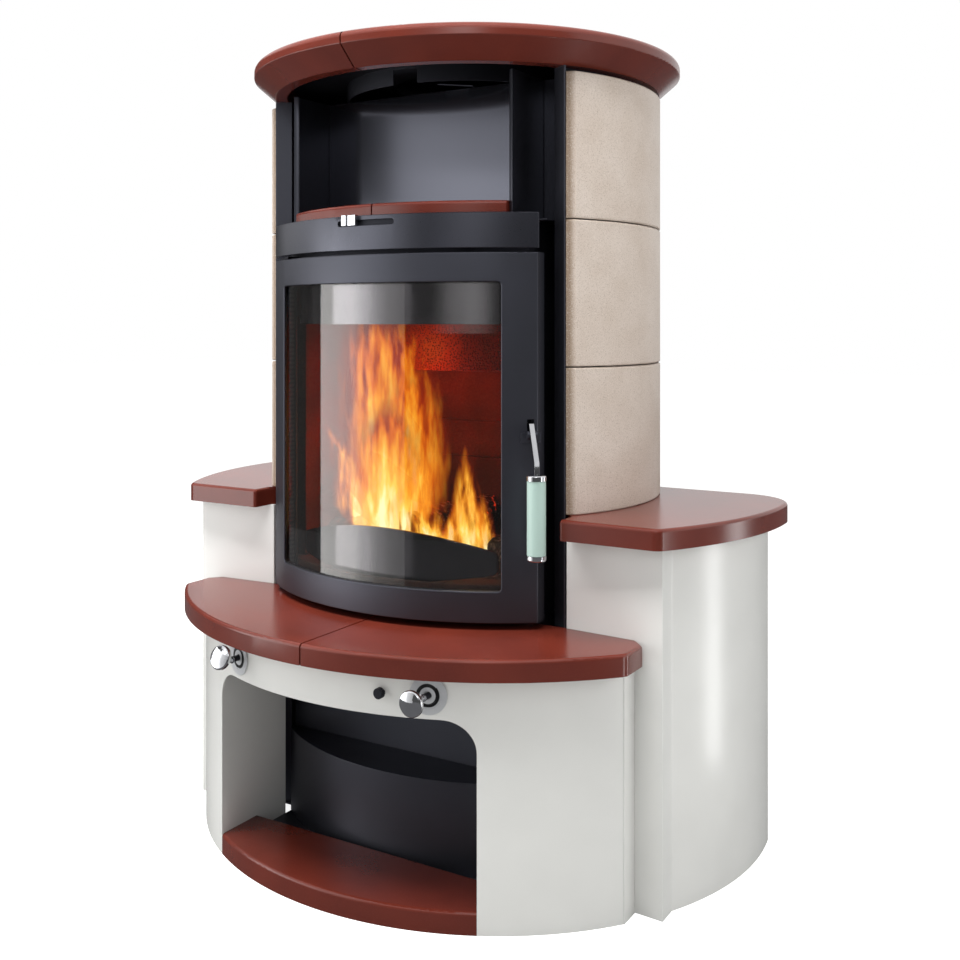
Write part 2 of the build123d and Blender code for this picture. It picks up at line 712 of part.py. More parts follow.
with BuildPart() as top_lid:
    with BuildSketch(Plane.XY.offset(plate_slab_z)):
        Circle(lid_radius)
    extrude(amount=plate_slab_thickness)
    with BuildSketch(Plane.XY.offset(plate_slab_z)):
        Circle(lid_radius - sheet)
    extrude(amount=plate_slab_thickness - sheet, mode=Mode.SUBTRACT)
    lid_slots = 4
    with BuildSketch(Plane.XY.offset(stove_height - sheet)):
        with PolarLocations(lid_radius * 0.6, lid_slots, start_angle=45):
            SlotOverall(lid_radius * 0.5, 4 * sheet, rotation=90)
    extrude(amount=sheet, mode=Mode.SUBTRACT)
save(top_lid, "top_lid")

# ================================================================ niche
fold = niche_fold / sqrt(2)
with BuildPart() as niche_slabs:
    with BuildSketch(Plane.XY.offset(body_top_z)):
        with BuildLine():
            arc_start = (seam / 2, front_y(niche_slab_axis_y, niche_slab_radius, seam / 2))
            arc_mid = polar(niche_slab_axis_y, niche_slab_radius, 20)
            end_x = niche_half_width - sheet - fold - fit_gap
            wide_x = niche_half_width - sheet - fit_gap
            fold_y = niche_front_y + fold + sheet + fit_gap
            arc_end = (end_x, front_y(niche_slab_axis_y, niche_slab_radius, end_x))
            ThreePointArc(arc_start, arc_mid, arc_end)
            back = niche_back_y + sheet
            Polyline(arc_end, (end_x, fold_y), (wide_x, fold_y), (wide_x, back), (seam / 2, back), arc_start)
        make_face()
    extrude(amount=slab_thickness)
    fillet(edges().group_by(Axis.Z)[-1].filter_by(GeomType.CIRCLE), slab_edge_round)
    mirror(about=Plane.YZ)
save(niche_slabs, "niche_slabs")

with BuildPart() as niche_cheeks:
    with BuildSketch(Plane.XY.offset(body_top_z)):
        with BuildLine():
            Polyline(
                (niche_half_width, niche_front_y),
                (niche_half_width, recess_back_y + sheet),
                (niche_half_width - sheet, recess_back_y + sheet),
                (niche_half_width - sheet, niche_front_y + fold + sheet),
                (niche_half_width - sheet - fold, niche_front_y + fold),
                (niche_half_width - fold, niche_front_y + fold - sheet),
                (niche_half_width, niche_front_y),
            )
        make_face()
    extrude(amount=ring_bottom_z - body_top_z)
    mirror(about=Plane.YZ)
save(niche_cheeks, "niche_cheeks")

with BuildPart() as niche_back:
    with BuildSketch(Plane.XY.offset(niche_floor_z)):
        with Locations((0, niche_back_y + sheet / 2)):
            Rectangle(2 * (niche_half_width - sheet - fit_gap), sheet)
    extrude(amount=ring_bottom_z - niche_floor_z)
save(niche_back, "niche_back")

# narrow panels and decks that close the gap between the niche and the tiled jacket
with BuildPart() as recess_panels:
    carrier_inner = carrier_radius - sheet - fit_gap
    outer_x = sqrt(carrier_inner**2 - (recess_back_y - jacket_axis_y) ** 2)
    inner_x = niche_half_width + fit_gap
    with BuildSketch(Plane.XY.offset(body_top_z)):
        with Locations(((inner_x + outer_x) / 2, recess_back_y + sheet / 2)):
            Rectangle(outer_x - inner_x, sheet)
    extrude(amount=ring_bottom_z - body_top_z)
    deck_outer_x = polar(jacket_axis_y, column_inner_radius, column_angle)[0] - fit_gap
    with BuildSketch(Plane.XY.offset(body_top_z)):
        with Locations(((inner_x + deck_outer_x) / 2, (recess_deck_front_y + recess_back_y) / 2)):
            Rectangle(deck_outer_x - inner_x, recess_back_y - recess_deck_front_y)
    extrude(amount=sheet)
    mirror(about=Plane.YZ)
save(recess_panels, "recess_panels")

# ================================================================ firebox body


def body_outline(inset):
    """Plan of the firebox: straight sides and back, curved front."""
    half = body_half_width - inset
    radius = body_front_radius - inset
    with BuildLine() as outline:
        left = (-half, front_y(front_axis_y, radius, half))
        right = (half, left[1])
        ThreePointArc(left, (0, front_axis_y - radius), right)
        Polyline(right, (half, body_rear_y - inset), (-half, body_rear_y - inset), left)
    make_face(outline.edges())


collector_rear_y = body_rear_y - body_wall
with BuildPart() as firebox_body:
    with BuildSketch(Plane.XY.offset(body_bottom_z)):
        body_outline(0)
    extrude(amount=body_top_z - body_bottom_z)
    with BuildSketch(Plane.XY.offset(body_bottom_z + body_wall)):
        body_outline(body_wall)
    extrude(amount=body_top_z - body_bottom_z - 2 * body_wall, mode=Mode.SUBTRACT)
    front_window(mouth_half_width, mouth_bottom_z, mouth_top_z, 4 * body_wall, 2 * body_front_radius)
    # smoke outlet in the top
    with BuildSketch(Plane.XY.offset(body_top_z - 2 * body_wall)):
        with Locations((0, (collector_front_y + collector_rear_y) / 2)):
            Rectangle(
                2 * (collector_half_width - 2 * body_wall),
                collector_rear_y - collector_front_y - 4 * body_wall,
            )
    extrude(amount=4 * body_wall, mode=Mode.SUBTRACT)
save(firebox_body, "firebox_body")

with BuildPart() as smoke_collector:
    with BuildSketch(Plane.XY.offset(body_top_z)):
        with Locations((0, (collector_front_y + collector_rear_y) / 2)):
            Rectangle(2 * collector_half_width, collector_rear_y - collector_front_y)
    extrude(amount=collector_top_z - body_top_z)
    with BuildSketch(Plane.XY.offset(body_top_z)):
        with Locations((0, (collector_front_y + collector_rear_y) / 2)):
            Rectangle(2 * (collector_half_width - sheet), collector_rear_y - collector_front_y - 2 * sheet)
    extrude(amount=collector_top_z - body_top_z - sheet, mode=Mode.SUBTRACT)
    with BuildSketch(Plane.XZ.offset(-collector_rear_y + 2 * sheet)):
        with Locations((0, flue_z)):
            Circle(flue_radius - flue_neck_step - flue_wall)
    extrude(amount=-4 * sheet, mode=Mode.SUBTRACT)
save(smoke_collector, "smoke_collector")

# flanged inner length, then the free end that a flue pipe slides over
with BuildPart() as flue_spigot:
    neck_radius = flue_radius - flue_neck_step
    spigot_steps = (
        (collector_rear_y, flue_radius + flue_flange, sheet),
        (collector_rear_y, neck_radius, rear_y - collector_rear_y),
        (rear_y, flue_radius, flue_reach),
    )
    for start_y, radius, length in spigot_steps:
        with BuildSketch(Plane.XZ.offset(-start_y)):
            with Locations((0, flue_z)):
                Circle(radius)
        extrude(amount=-length)
    with BuildSketch(Plane.XZ.offset(-collector_rear_y)):
        with Locations((0, flue_z)):
            Circle(neck_radius - flue_wall)
    extrude(amount=collector_rear_y - rear_y - flue_reach, mode=Mode.SUBTRACT)
save(flue_spigot, "flue_spigot")

# ---------------------------------------------------------------- lining
inner_half = body_half_width - body_wall - fit_gap
inner_rear_y = body_rear_y - body_wall - fit_gap
lining_rear_y = inner_rear_y - lining
lining_front_y = front_y(front_axis_y, body_front_radius - body_wall, inner_half) + sheet
with BuildPart() as side_linings:
    for side in (-1, 1):
        with BuildSketch(Plane.XY.offset(hearth_z)):
            with Locations((side * (inner_half - lining / 2), (lining_front_y + lining_rear_y) / 2)):
                Rectangle(lining, lining_rear_y - lining_front_y)
        extrude(amount=lining_top_z - hearth_z)
save(side_linings, "side_linings")

with BuildPart() as rear_lining:
    for low, high in zip(rear_courses_z[:-1], rear_courses_z[1:]):
        with BuildSketch(Plane.XY.offset(low)):
            with Locations((0, inner_rear_y - lining / 2)):
                Rectangle(2 * inner_half, lining)
        extrude(amount=high - low - brick_joint)
save(rear_lining, "rear_lining")

# four hearth bricks around the grate, which lies in a rebate of the two side ones
with BuildPart() as hearth_bricks:
    hearth_low_z = body_bottom_z + body_wall
    rebate_x = grate_half_width - grate_rebate
    hearth_radius = body_front_radius - body_wall - fit_gap
    for side in (-1, 1):
        with BuildSketch(Plane.XY.offset(hearth_low_z)):
            with Locations((0, front_axis_y)):
                Circle(hearth_radius)
            with Locations((side * (rebate_x + inner_half) / 2, inner_rear_y - hearth_radius)):
                Rectangle(inner_half - rebate_x, 2 * hearth_radius, mode=Mode.INTERSECT)
        extrude(amount=hearth_z - hearth_low_z)
    for low_y, high_y in ((-body_front_radius, grate_front_y), (grate_rear_y, inner_rear_y)):
        with BuildSketch(Plane.XY.offset(hearth_low_z)):
            with Locations((0, front_axis_y)):
                Circle(hearth_radius)
            with Locations((0, (low_y + high_y) / 2)):
                brick_depth = high_y - low_y - 2 * brick_joint
                Rectangle(2 * (rebate_x - brick_joint), brick_depth, mode=Mode.INTERSECT)
        extrude(amount=hearth_z - hearth_low_z)
    with BuildSketch(Plane.XY.offset(hearth_z - grate_thickness)):
        with Locations((0, (grate_front_y + grate_rear_y) / 2)):
            Rectangle(2 * grate_half_width, grate_rear_y - grate_front_y)
    extrude(amount=grate_thickness, mode=Mode.SUBTRACT)
save(hearth_bricks, "hearth_bricks")

with BuildPart() as grate:
    grate_length = grate_rear_y - grate_front_y - 2 * fit_gap
    with BuildSketch(Plane.XY.offset(hearth_z - grate_thickness)):
        with Locations((0, (grate_front_y + grate_rear_y) / 2)):
            Rectangle(2 * grate_half_width - 2 * fit_gap, grate_length)
    extrude(amount=grate_thickness)
    bar_slots = int((2 * grate_half_width - 3 * grate_bar_pitch) / grate_bar_pitch)
    with BuildSketch(Plane.XY.offset(hearth_z - grate_thickness)):
        with Locations((0, (grate_front_y + grate_rear_y) / 2)):
            with GridLocations(grate_bar_pitch, 0, bar_slots, 1):
                SlotOverall(grate_length - 3 * grate_bar_pitch, grate_bar_pitch / 2, rotation=90)
    extrude(amount=grate_thickness, mode=Mode.SUBTRACT)
save(grate, "grate")

with BuildPart() as ash_pan:
    pan_z = body_bottom_z + body_wall
    pan_length = grate_rear_y - grate_front_y - 2 * sheet
    with BuildSketch(Plane.XY.offset(pan_z)):
        with Locations((0, (grate_front_y + grate_rear_y) / 2)):
            Rectangle(2 * ash_pan_half_width, pan_length)
    extrude(amount=ash_pan_height)
    with BuildSketch(Plane.XY.offset(pan_z + thin_sheet)):
        with Locations((0, (grate_front_y + grate_rear_y) / 2)):
            Rectangle(2 * (ash_pan_half_width - thin_sheet), pan_length - 2 * thin_sheet)
    extrude(amount=ash_pan_height, mode=Mode.SUBTRACT)
save(ash_pan, "ash_pan")

with BuildPart() as log_guard:
    with BuildSketch(Plane.XY):
        band_sketch(front_axis_y, guard_radius, guard_radius - 2 * sheet, guard_half_width + guard_round)
    extrude(amount=hearth_z + guard_height + guard_round)
    with BuildSketch(Plane.XZ) as guard_profile:
        guard_top_z = hearth_z + guard_height
        guard_end_z = guard_top_z - guard_crown
        with BuildLine():
            upper_end = (guard_half_width, guard_end_z)
            ThreePointArc((-guard_half_width, guard_end_z), (0, guard_top_z), upper_end)
            Polyline(
                upper_end,
                (guard_half_width, hearth_z + guard_end_lift),
                (guard_foot_half_width, hearth_z),
                (-guard_foot_half_width, hearth_z),
                (-guard_half_width, hearth_z + guard_end_lift),
                (-guard_half_width, guard_end_z),
            )
        make_face()
        guard_ends = [v for v in guard_profile.vertices() if abs(v.X) > guard_foot_half_width + guard_round]
        fillet(guard_ends, guard_round)
    extrude(amount=2 * guard_radius, mode=Mode.INTERSECT)
save(log_guard, "log_guard")

baffle_thickness = 22.0
with BuildPart() as baffle_plate:
    with BuildSketch(Plane.XY.offset(lining_top_z)):
        with Locations((0, (inner_rear_y - 3 * lining) / 2)):
            Rectangle(2 * inner_half, inner_rear_y + lining)
    extrude(amount=baffle_thickness)
save(baffle_plate, "baffle_plate")

# porous block under the baffle, its lower edge raised at both ends
with BuildPart() as filter_block:
    filter_half = inner_half - lining
    filter_low_z = rear_courses_z[3]
    filter_depth = 6 * lining
    belly_half = 0.385 * filter_half       # level middle of the underside
    belly_rise = 0.8 * (lining_top_z - filter_low_z)
    with BuildSketch(Plane.XZ.offset(-lining_rear_y)):
        with BuildLine():
            Polyline(
                (-filter_half, filter_low_z + belly_rise),
                (-filter_half, lining_top_z),
                (filter_half, lining_top_z),
                (filter_half, filter_low_z + belly_rise),
            )
            Line((belly_half, filter_low_z), (-belly_half, filter_low_z))
            for side in (-1, 1):
                ThreePointArc(
                    (side * belly_half, filter_low_z),
                    (side * (belly_half + filter_half) / 2, filter_low_z + 0.37 * belly_rise),
                    (side * filter_half, filter_low_z + belly_rise),
                )
        make_face()
    extrude(amount=filter_depth)
save(filter_block, "filter_block")

with BuildPart() as airwash_deflector:
    deflector_bottom_z = lining_top_z - 5 * sheet
    deflector_radius = body_front_radius - 2 * body_wall
    with BuildSketch(Plane.XY.offset(deflector_bottom_z)):
        band_sketch(front_axis_y, deflector_radius, deflector_radius - thin_sheet, mouth_half_width - sheet)
    extrude(amount=body_top_z - body_wall - deflector_bottom_z)
save(airwash_deflector, "airwash_deflector")

# ================================================================ cover above the door
with BuildPart() as cover_panel:
    with BuildSketch(Plane.XY.offset(cover_bottom_z)):
        band_sketch(front_axis_y, door_radius, door_radius - cover_skin, cover_half_width)
    extrude(amount=cover_top_z - cover_bottom_z)
    front_window(slot_half_length, slot_bottom_z, slot_top_z, 0.45 * slot_height, 2 * door_radius)
    fillet([e for e in edges() if on_front_face(e)], cover_edge_round)
save(cover_panel, "cover_panel")


def slider_sketch(inner, outer, half_angle):
    """Plan of a piece of the slider between two radii about the cover's centre."""
    start, end = slider_angle - half_angle, slider_angle + half_angle
    with BuildLine() as outline:
        outer_arc = [polar(front_axis_y, outer, a) for a in (start, slider_angle, end)]
        inner_arc = [polar(front_axis_y, inner, a) for a in (end, slider_angle, start)]
        ThreePointArc(*outer_arc)
        Line(outer_arc[-1], inner_arc[0])
        ThreePointArc(*inner_arc)
        Line(inner_arc[-1], outer_arc[0])
    make_face(outline.edges())


with BuildPart() as air_slider:
    strip_outer = door_radius - cover_skin - 2 * fit_gap
    strip_half_angle = 12.0
    with BuildSketch(Plane.XY.offset(slot_bottom_z - 2 * sheet)):
        slider_sketch(strip_outer - sheet, strip_outer, strip_half_angle)
    extrude(amount=cover_top_z - slot_bottom_z)
    tab_half_angle = degrees(15.0 / door_radius)
    stem_half_angle = tab_half_angle / 3
    stem_z = slot_bottom_z + 1.5
    with BuildSketch(Plane.XY.offset(stem_z)):
        slider_sketch(strip_outer - 1, door_radius + 1, stem_half_angle)
    extrude(amount=slot_height - 3)
    with BuildSketch(Plane.XY.offset(slot_bottom_z)):
        slider_sketch(door_radius + fit_gap, door_radius + 3 * sheet, tab_half_angle)
    extrude(amount=2 * slot_height)
    # upright groove in the middle of the finger piece
    with BuildSketch(Plane.XY.offset(slot_bottom_z)):
        slider_sketch(door_radius + 2 * sheet, door_radius + 4 * sheet, stem_half_angle)
    extrude(amount=2 * slot_height, mode=Mode.SUBTRACT)
save(air_slider, "air_slider")

# ================================================================ door
with BuildPart() as door_frame:
    with BuildSketch(Plane.XY.offset(door_bottom_z)):
        band_sketch(front_axis_y, door_radius, door_radius - door_depth, door_half_width)
    extrude(amount=door_top_z - door_bottom_z)
    # hollow behind the skin
    with BuildSketch(Plane.XY.offset(door_bottom_z + door_rim)):
        hollow_half = door_half_width - door_rim
        band_sketch(front_axis_y, door_radius - door_skin, door_radius - 2 * door_depth, hollow_half)
    extrude(amount=door_top_z - door_bottom_z - 2 * door_rim, mode=Mode.SUBTRACT)
    front_window(glass_half_width, glass_bottom_z, glass_top_z, 2 * sheet, 2 * door_radius)
    fillet([e for e in edges() if on_front_face(e)], door_edge_round)
    # hinge bosses at the two left corners
    for z in (door_bottom_z, door_top_z - boss_height):
        with BuildSketch(Plane.XY.offset(z)):
            with Locations((hinge_x, hinge_y)):
                Circle(hinge_boss_radius)
            with Locations((0, front_axis_y)):
                Circle(door_radius, mode=Mode.INTERSECT)
        extrude(amount=boss_height)
        with BuildSketch(Plane.XY.offset(z)):
            with Locations((hinge_x, hinge_y)):
                Circle(hinge_pin_radius + running_gap)
        extrude(amount=boss_height, mode=Mode.SUBTRACT)
    # slot for the inner arm of the lever
    arm_slot_half = 6.0
    arm_slot_low = handle_pivot_z - 10
    arm_slot_high = handle_pivot_z + 25
    with BuildSketch(radial_plane(front_axis_y, door_radius, handle_angle).offset(-arm_slot_half)):
        with Locations((-door_skin / 2, (arm_slot_low + arm_slot_high) / 2)):
            Rectangle(3 * door_skin, arm_slot_high - arm_slot_low)
    extrude(amount=2 * arm_slot_half, mode=Mode.SUBTRACT)
save(door_frame, "door_frame")

with BuildPart() as door_glass:
    with BuildSketch(Plane.XY.offset(glass_bottom_z - glass_lap)):
        band_sketch(front_axis_y, glass_outer_radius, glass_inner_radius, glass_half_width + glass_lap)
    extrude(amount=glass_top_z - glass_bottom_z + 2 * glass_lap)
save(door_glass, "door_glass")

with BuildPart() as glass_frame:
    with BuildSketch(Plane.XY.offset(door_bottom_z + door_rim + fit_gap)):
        band_sketch(front_axis_y, glass_inner_radius, inner_frame_radius, inner_frame_half_width)
    extrude(amount=door_top_z - door_bottom_z - 2 * (door_rim + fit_gap))
    front_window(glass_half_width, glass_bottom_z, glass_top_z, 2 * sheet, 2 * door_radius)
save(glass_frame, "glass_frame")

# rope seal between door and firebox, and the thin gasket in front of the glass
with BuildPart() as door_seals:
    seal_half = inner_frame_half_width - seal_inset
    seal_low = door_bottom_z + door_rim + seal_inset
    seal_high = door_top_z - door_rim - seal_inset
    with BuildSketch(Plane.XY.offset(seal_low)):
        band_sketch(front_axis_y, inner_frame_radius, body_front_radius, seal_half)
    extrude(amount=seal_high - seal_low)
    seal_inner = seal_half - seal_width
    front_window(seal_inner, seal_low + seal_width, seal_high - seal_width, seal_width, 2 * door_radius)
    with BuildSketch(Plane.XY.offset(glass_bottom_z - glass_lap)):
        band_sketch(front_axis_y, door_radius - door_skin, glass_outer_radius, glass_half_width + glass_lap)
    extrude(amount=glass_top_z - glass_bottom_z + 2 * glass_lap)
    front_window(glass_half_width, glass_bottom_z, glass_top_z, 2 * sheet, 2 * door_radius)
save(door_seals, "door_seals")

# two short pins, and the washer that the door turns on
with BuildPart() as hinge_pins:
    pin_end_gap = 2.0
    lower_pin_z = body_bottom_z - lower_hinge_plate
    upper_pin_z = door_top_z - boss_height + pin_end_gap
    pin_spans = (
        (lower_pin_z, door_bottom_z + boss_height - pin_end_gap),
        (upper_pin_z, upper_hinge_z + upper_hinge_plate),
    )
    for low, high in pin_spans:
        with BuildSketch(Plane.XY.offset(low)):
            with Locations((hinge_x, hinge_y)):
                Circle(hinge_pin_radius)
        extrude(amount=high - low)
    with BuildSketch(Plane.XY.offset(body_bottom_z)):
        with Locations((hinge_x, hinge_y)):
            Circle(hinge_boss_radius - 0.5)
    extrude(amount=door_bottom_z - body_bottom_z - running_gap)
save(hinge_pins, "hinge_pins")

# ---------------------------------------------------------------- handle
handle_plane = radial_plane(front_axis_y, door_radius, handle_angle)
lever_top_z = handle_pivot_z + lever_head_rise
lever_bend_z = grip_top_z + grip_cap_height + lever_bend_rise
lever_hub_radius = lever_thickness * 0.75
arm_reach = 20.0
pivot_radius = 3.0
with BuildPart() as handle_lever:
    with BuildSketch(handle_plane.offset(-lever_width / 2)):
        with BuildLine():
            Polyline(
                (-arm_reach, lever_top_z),
                (lever_shoulder, lever_top_z),
                (grip_out, lever_bend_z),
                (grip_out, grip_top_z + grip_cap_height),
            )
        trace(line_width=lever_thickness)
        with Locations((handle_pivot_out, handle_pivot_z)):
            Circle(lever_hub_radius)
        with Locations((handle_pivot_out, handle_pivot_z)):
            Circle(pivot_radius, mode=Mode.SUBTRACT)
    extrude(amount=lever_width)
save(handle_lever, "handle_lever")

with BuildPart() as handle_bracket:
    ear = 3.5
    ear_gap = 0.5
    base_half = 17.0
    base_height = 16.0
    base_drop = 5.0                # middle of the base below the pivot
    with BuildSketch(handle_plane.offset(-base_half)):
        with Locations((sheet / 2, handle_pivot_z - base_drop)):
            Rectangle(sheet, base_height)
    extrude(amount=2 * base_half)
    # the lever passes between the two ears
    with BuildSketch(handle_plane.offset(-lever_width / 2 - ear_gap - ear)):
        with Locations((handle_pivot_out, handle_pivot_z)):
            Circle(lever_hub_radius)
        with Locations((handle_pivot_out / 2, handle_pivot_z - lever_hub_radius / 2)):
            Rectangle(handle_pivot_out, lever_hub_radius)
    extrude(amount=lever_width + 2 * (ear_gap + ear))
    with BuildSketch(handle_plane.offset(-lever_width / 2 - ear_gap)):
        with Locations((sheet + handle_pivot_out, handle_pivot_z)):
            Rectangle(2 * handle_pivot_out, 3 * lever_thickness)
    extrude(amount=lever_width + 2 * ear_gap, mode=Mode.SUBTRACT)
    with BuildSketch(handle_plane.offset(-base_half)):
        with Locations((handle_pivot_out, handle_pivot_z)):
            Circle(pivot_radius + running_gap)
    extrude(amount=2 * base_half, mode=Mode.SUBTRACT)
save(handle_bracket, "handle_bracket")

with BuildPart() as handle_pin:
    with BuildSketch(handle_plane.offset(-lever_width / 2 - ear_gap - ear)):
        with Locations((handle_pivot_out, handle_pivot_z)):
            Circle(pivot_radius)
    extrude(amount=lever_width + 2 * (ear_gap + ear))
save(handle_pin, "handle_pin")

grip_centre = polar(front_axis_y, door_radius + grip_out, handle_angle)
with BuildPart() as handle_grip:
    with BuildSketch(Plane.XY.offset(grip_bottom_z)):
        with Locations(grip_centre):
            Circle(grip_radius)
            Circle(grip_bore, mode=Mode.SUBTRACT)
    extrude(amount=grip_top_z - grip_bottom_z)
save(handle_grip, "handle_grip")

# two end caps on the rod that carries the grip
with BuildPart() as grip_caps:
    grip_ends = ((grip_bottom_z - grip_cap_height, grip_cap_radius, grip_cap_height),
                 (grip_bottom_z, grip_bore / 2, grip_top_z - grip_bottom_z),
                 (grip_top_z, grip_cap_radius, grip_cap_height))
    for low, radius, length in grip_ends:
        with BuildSketch(Plane.XY.offset(low)):
            with Locations(grip_centre):
                Circle(radius)
        extrude(amount=length)
    fillet(edges().group_by(Axis.Z)[0] + edges().group_by(Axis.Z)[-1], cap_round)
save(grip_caps, "grip_caps")

# small brackets welded to the firebox: two for the door hinge, one keeper for the latch,
# two that hold the cover
with BuildPart() as front_brackets:
    bracket_lap = 15.0             # length of bracket lying on the side of the firebox
    bracket_nose = 2.0
    lower_bracket_run = 45.0
    upper_bracket_run = 60.0
    bracket_back_y = front_y(front_axis_y, body_front_radius, body_half_width) + bracket_lap
    with BuildSketch(Plane.XY.offset(body_bottom_z - lower_hinge_plate)):
        with Locations((hinge_x, hinge_y)):
            Circle(hinge_boss_radius)
        with BuildLine():
            Polyline(
                (hinge_x - hinge_boss_radius, hinge_y),
                (hinge_x + bracket_nose, hinge_y - hinge_boss_radius),
                (hinge_x + lower_bracket_run, bracket_back_y - bracket_lap),
                (hinge_x + lower_bracket_run, bracket_back_y),
                (hinge_x - hinge_boss_radius, bracket_back_y),
                (hinge_x - hinge_boss_radius, hinge_y),
            )
        make_face()
        with Locations((hinge_x, hinge_y)):
            Circle(hinge_pin_radius, mode=Mode.SUBTRACT)
    extrude(amount=lower_hinge_plate)
    with BuildSketch(Plane.XY.offset(upper_hinge_z)):
        with Locations((hinge_x, hinge_y)):
            Circle(hinge_boss_radius)
        with BuildLine():
            Polyline(
                (hinge_x - hinge_boss_radius, hinge_y),
                (hinge_x + bracket_nose, hinge_y - hinge_boss_radius),
                (hinge_x + upper_bracket_run, hinge_y - upper_bracket_run),
                (hinge_x + upper_bracket_run, bracket_back_y),
                (hinge_x - hinge_boss_radius, hinge_y),
            )
        make_face()
        with Locations((0, front_axis_y)):
            Circle(body_front_radius, mode=Mode.SUBTRACT)
        with Locations((hinge_x, hinge_y)):
            Circle(hinge_pin_radius, mode=Mode.SUBTRACT)
    extrude(amount=upper_hinge_plate)
    # latch keeper above the inner arm of the lever
    keeper_half_width = 5.0
    keeper_reach = 7.0
    keeper_z = lever_top_z + lever_thickness / 2 + 1
    keeper_half_angle = degrees(keeper_half_width / body_front_radius)
    with BuildSketch(Plane.XY.offset(keeper_z)):
        with BuildLine():
            keeper_start = handle_angle - 2 * keeper_half_angle
            keeper_end = handle_angle + keeper_half_angle
            outer_r = body_front_radius + keeper_reach
            Polyline(
                polar(front_axis_y, body_front_radius, keeper_start),
                polar(front_axis_y, outer_r, keeper_start),
                polar(front_axis_y, outer_r, keeper_end),
                polar(front_axis_y, outer_r - keeper_half_width, keeper_end),
                (body_half_width, front_y(front_axis_y, body_front_radius, body_half_width)),
                polar(front_axis_y, body_front_radius, keeper_start),
            )
        make_face()
        with Locations((0, front_axis_y)):
            Circle(body_front_radius, mode=Mode.SUBTRACT)
    extrude(amount=2 * sheet)
    # cover brackets
    bracket_x = 165.0
    bracket_half = 12.0
    for side in (-1, 1):
        with BuildSketch(Plane.XY.offset(cover_bottom_z + 2 * sheet)):
            with Locations((0, front_axis_y)):
                Circle(door_radius - cover_skin)
                Circle(body_front_radius, mode=Mode.SUBTRACT)
            with Locations((side * bracket_x, front_axis_y - door_radius / 2)):
                Rectangle(2 * bracket_half, door_radius, mode=Mode.INTERSECT)
        extrude(amount=body_top_z - cover_bottom_z - 4 * sheet)
save(front_brackets, "front_brackets")

# ================================================================ controls
shell_control_y = front_y(base_axis_y, shell_radius, control_x)
control_angle = degrees(asin(control_x / shell_radius))
with BuildPart() as rosettes:
    for side in (-1, 1):
        tilt = radians(side * control_angle)
        centre = (side * control_x, shell_control_y, control_z)
        face = Plane(origin=centre, x_dir=(cos(tilt), sin(tilt), 0), z_dir=(sin(tilt), -cos(tilt), 0))
        with BuildSketch(face):
            Circle(rosette_radius)
        extrude(amount=rosette_thickness)
        # groove that marks the travel of the pointer: open from the upper left to the bottom
        with BuildSketch(face.offset(rosette_thickness)):
            Circle(rosette_radius * 0.68)
            Circle(rosette_radius * 0.48, mode=Mode.SUBTRACT)
            with BuildLine():
                Polyline(
                    (0, 0),
                    (rosette_radius, rosette_radius),
                    (-rosette_radius, rosette_radius),
                    (-rosette_radius, -rosette_radius),
                    (-rosette_radius / 4, -rosette_radius),
                    (0, 0),
                )
            make_face(mode=Mode.SUBTRACT)
        extrude(amount=-rosette_thickness / 2, mode=Mode.SUBTRACT)
        with BuildSketch(control_plane(side * control_x, 0)):
            Circle(control_shaft_radius + 1)
        extrude(amount=2 * shell_radius, mode=Mode.SUBTRACT)
save(rosettes, "rosettes")

# each control: a perforated disc behind the pedestal wall, its shaft, and the knob on the shaft
shutter_radius = 38.0
shutter_front_y = pedestal_front_y + pedestal_wall + fit_gap
shaft_reach = 14.0
for name, side in SIDES:
    with BuildPart() as air_control:
        with BuildSketch(control_plane(side * control_x, shutter_front_y + sheet)):
            Circle(shutter_radius)
            with PolarLocations(shutter_radius * 0.6, 4):
                Circle(shutter_radius / 5, mode=Mode.SUBTRACT)
        extrude(amount=sheet)
        with BuildSketch(control_plane(side * control_x, shutter_front_y)):
            Circle(control_shaft_radius)
        extrude(amount=shutter_front_y - shell_control_y + shaft_reach)
    save(air_control, f"air_control_{name}")

    with BuildPart() as control_knob:
        rise = radians(knob_rise[name])
        with BuildSketch(control_plane(side * control_x, shell_control_y - shaft_reach)):
            Circle(knob_hub_radius)
        extrude(amount=knob_hub_length)
        root = (side * control_x, shell_control_y - shaft_reach - knob_hub_length / 2, control_z)
        head = knob_reach - shaft_reach - knob_hub_length / 2
        with BuildSketch(Plane(origin=root, x_dir=(1, 0, 0), z_dir=(0, sin(rise), cos(rise)))):
            with BuildLine():
                Polyline(
                    (0, -head),
                    (0, 0),
                    (knob_stem_radius, 0),
                    (knob_stem_radius, knob_cap_length + 4 - head),
                    (knob_radius, knob_cap_length - head),
                    (knob_radius, knob_dome - head),
                    (0, -head),
                )
            make_face()
            fillet(vertices().group_by(Axis.X)[-1], knob_round)
        revolve(axis=Axis(root, (0, cos(rise), -sin(rise))))
    save(control_knob, f"control_knob_{name}")

with BuildPart() as pull_knob:
    pull_face_y = front_y(base_axis_y, shell_radius, pull_x)
    pull_rear_y = pedestal_front_y + 12 * sheet
    with BuildSketch(control_plane(pull_x, pull_rear_y)):
        Circle(pull_rod_radius)
    extrude(amount=pull_rear_y - pull_face_y + 10)
    with BuildSketch(Plane(origin=(pull_x, pull_face_y, control_z), x_dir=(1, 0, 0), z_dir=(0, 0, 1))):
        with BuildLine():
            r = pull_knob_radius
            Polyline(
                (0, -16), (0, -6), (r - 1, -6), (r, -7), (r, -10), (r - 2, -11), (r - 2, -12),
                (r, -13), (r, -15), (r - 1, -16), (0, -16),
            )
        make_face()
    revolve(axis=Axis((pull_x, pull_face_y, control_z), (0, 1, 0)))
save(pull_knob, "pull_knob")

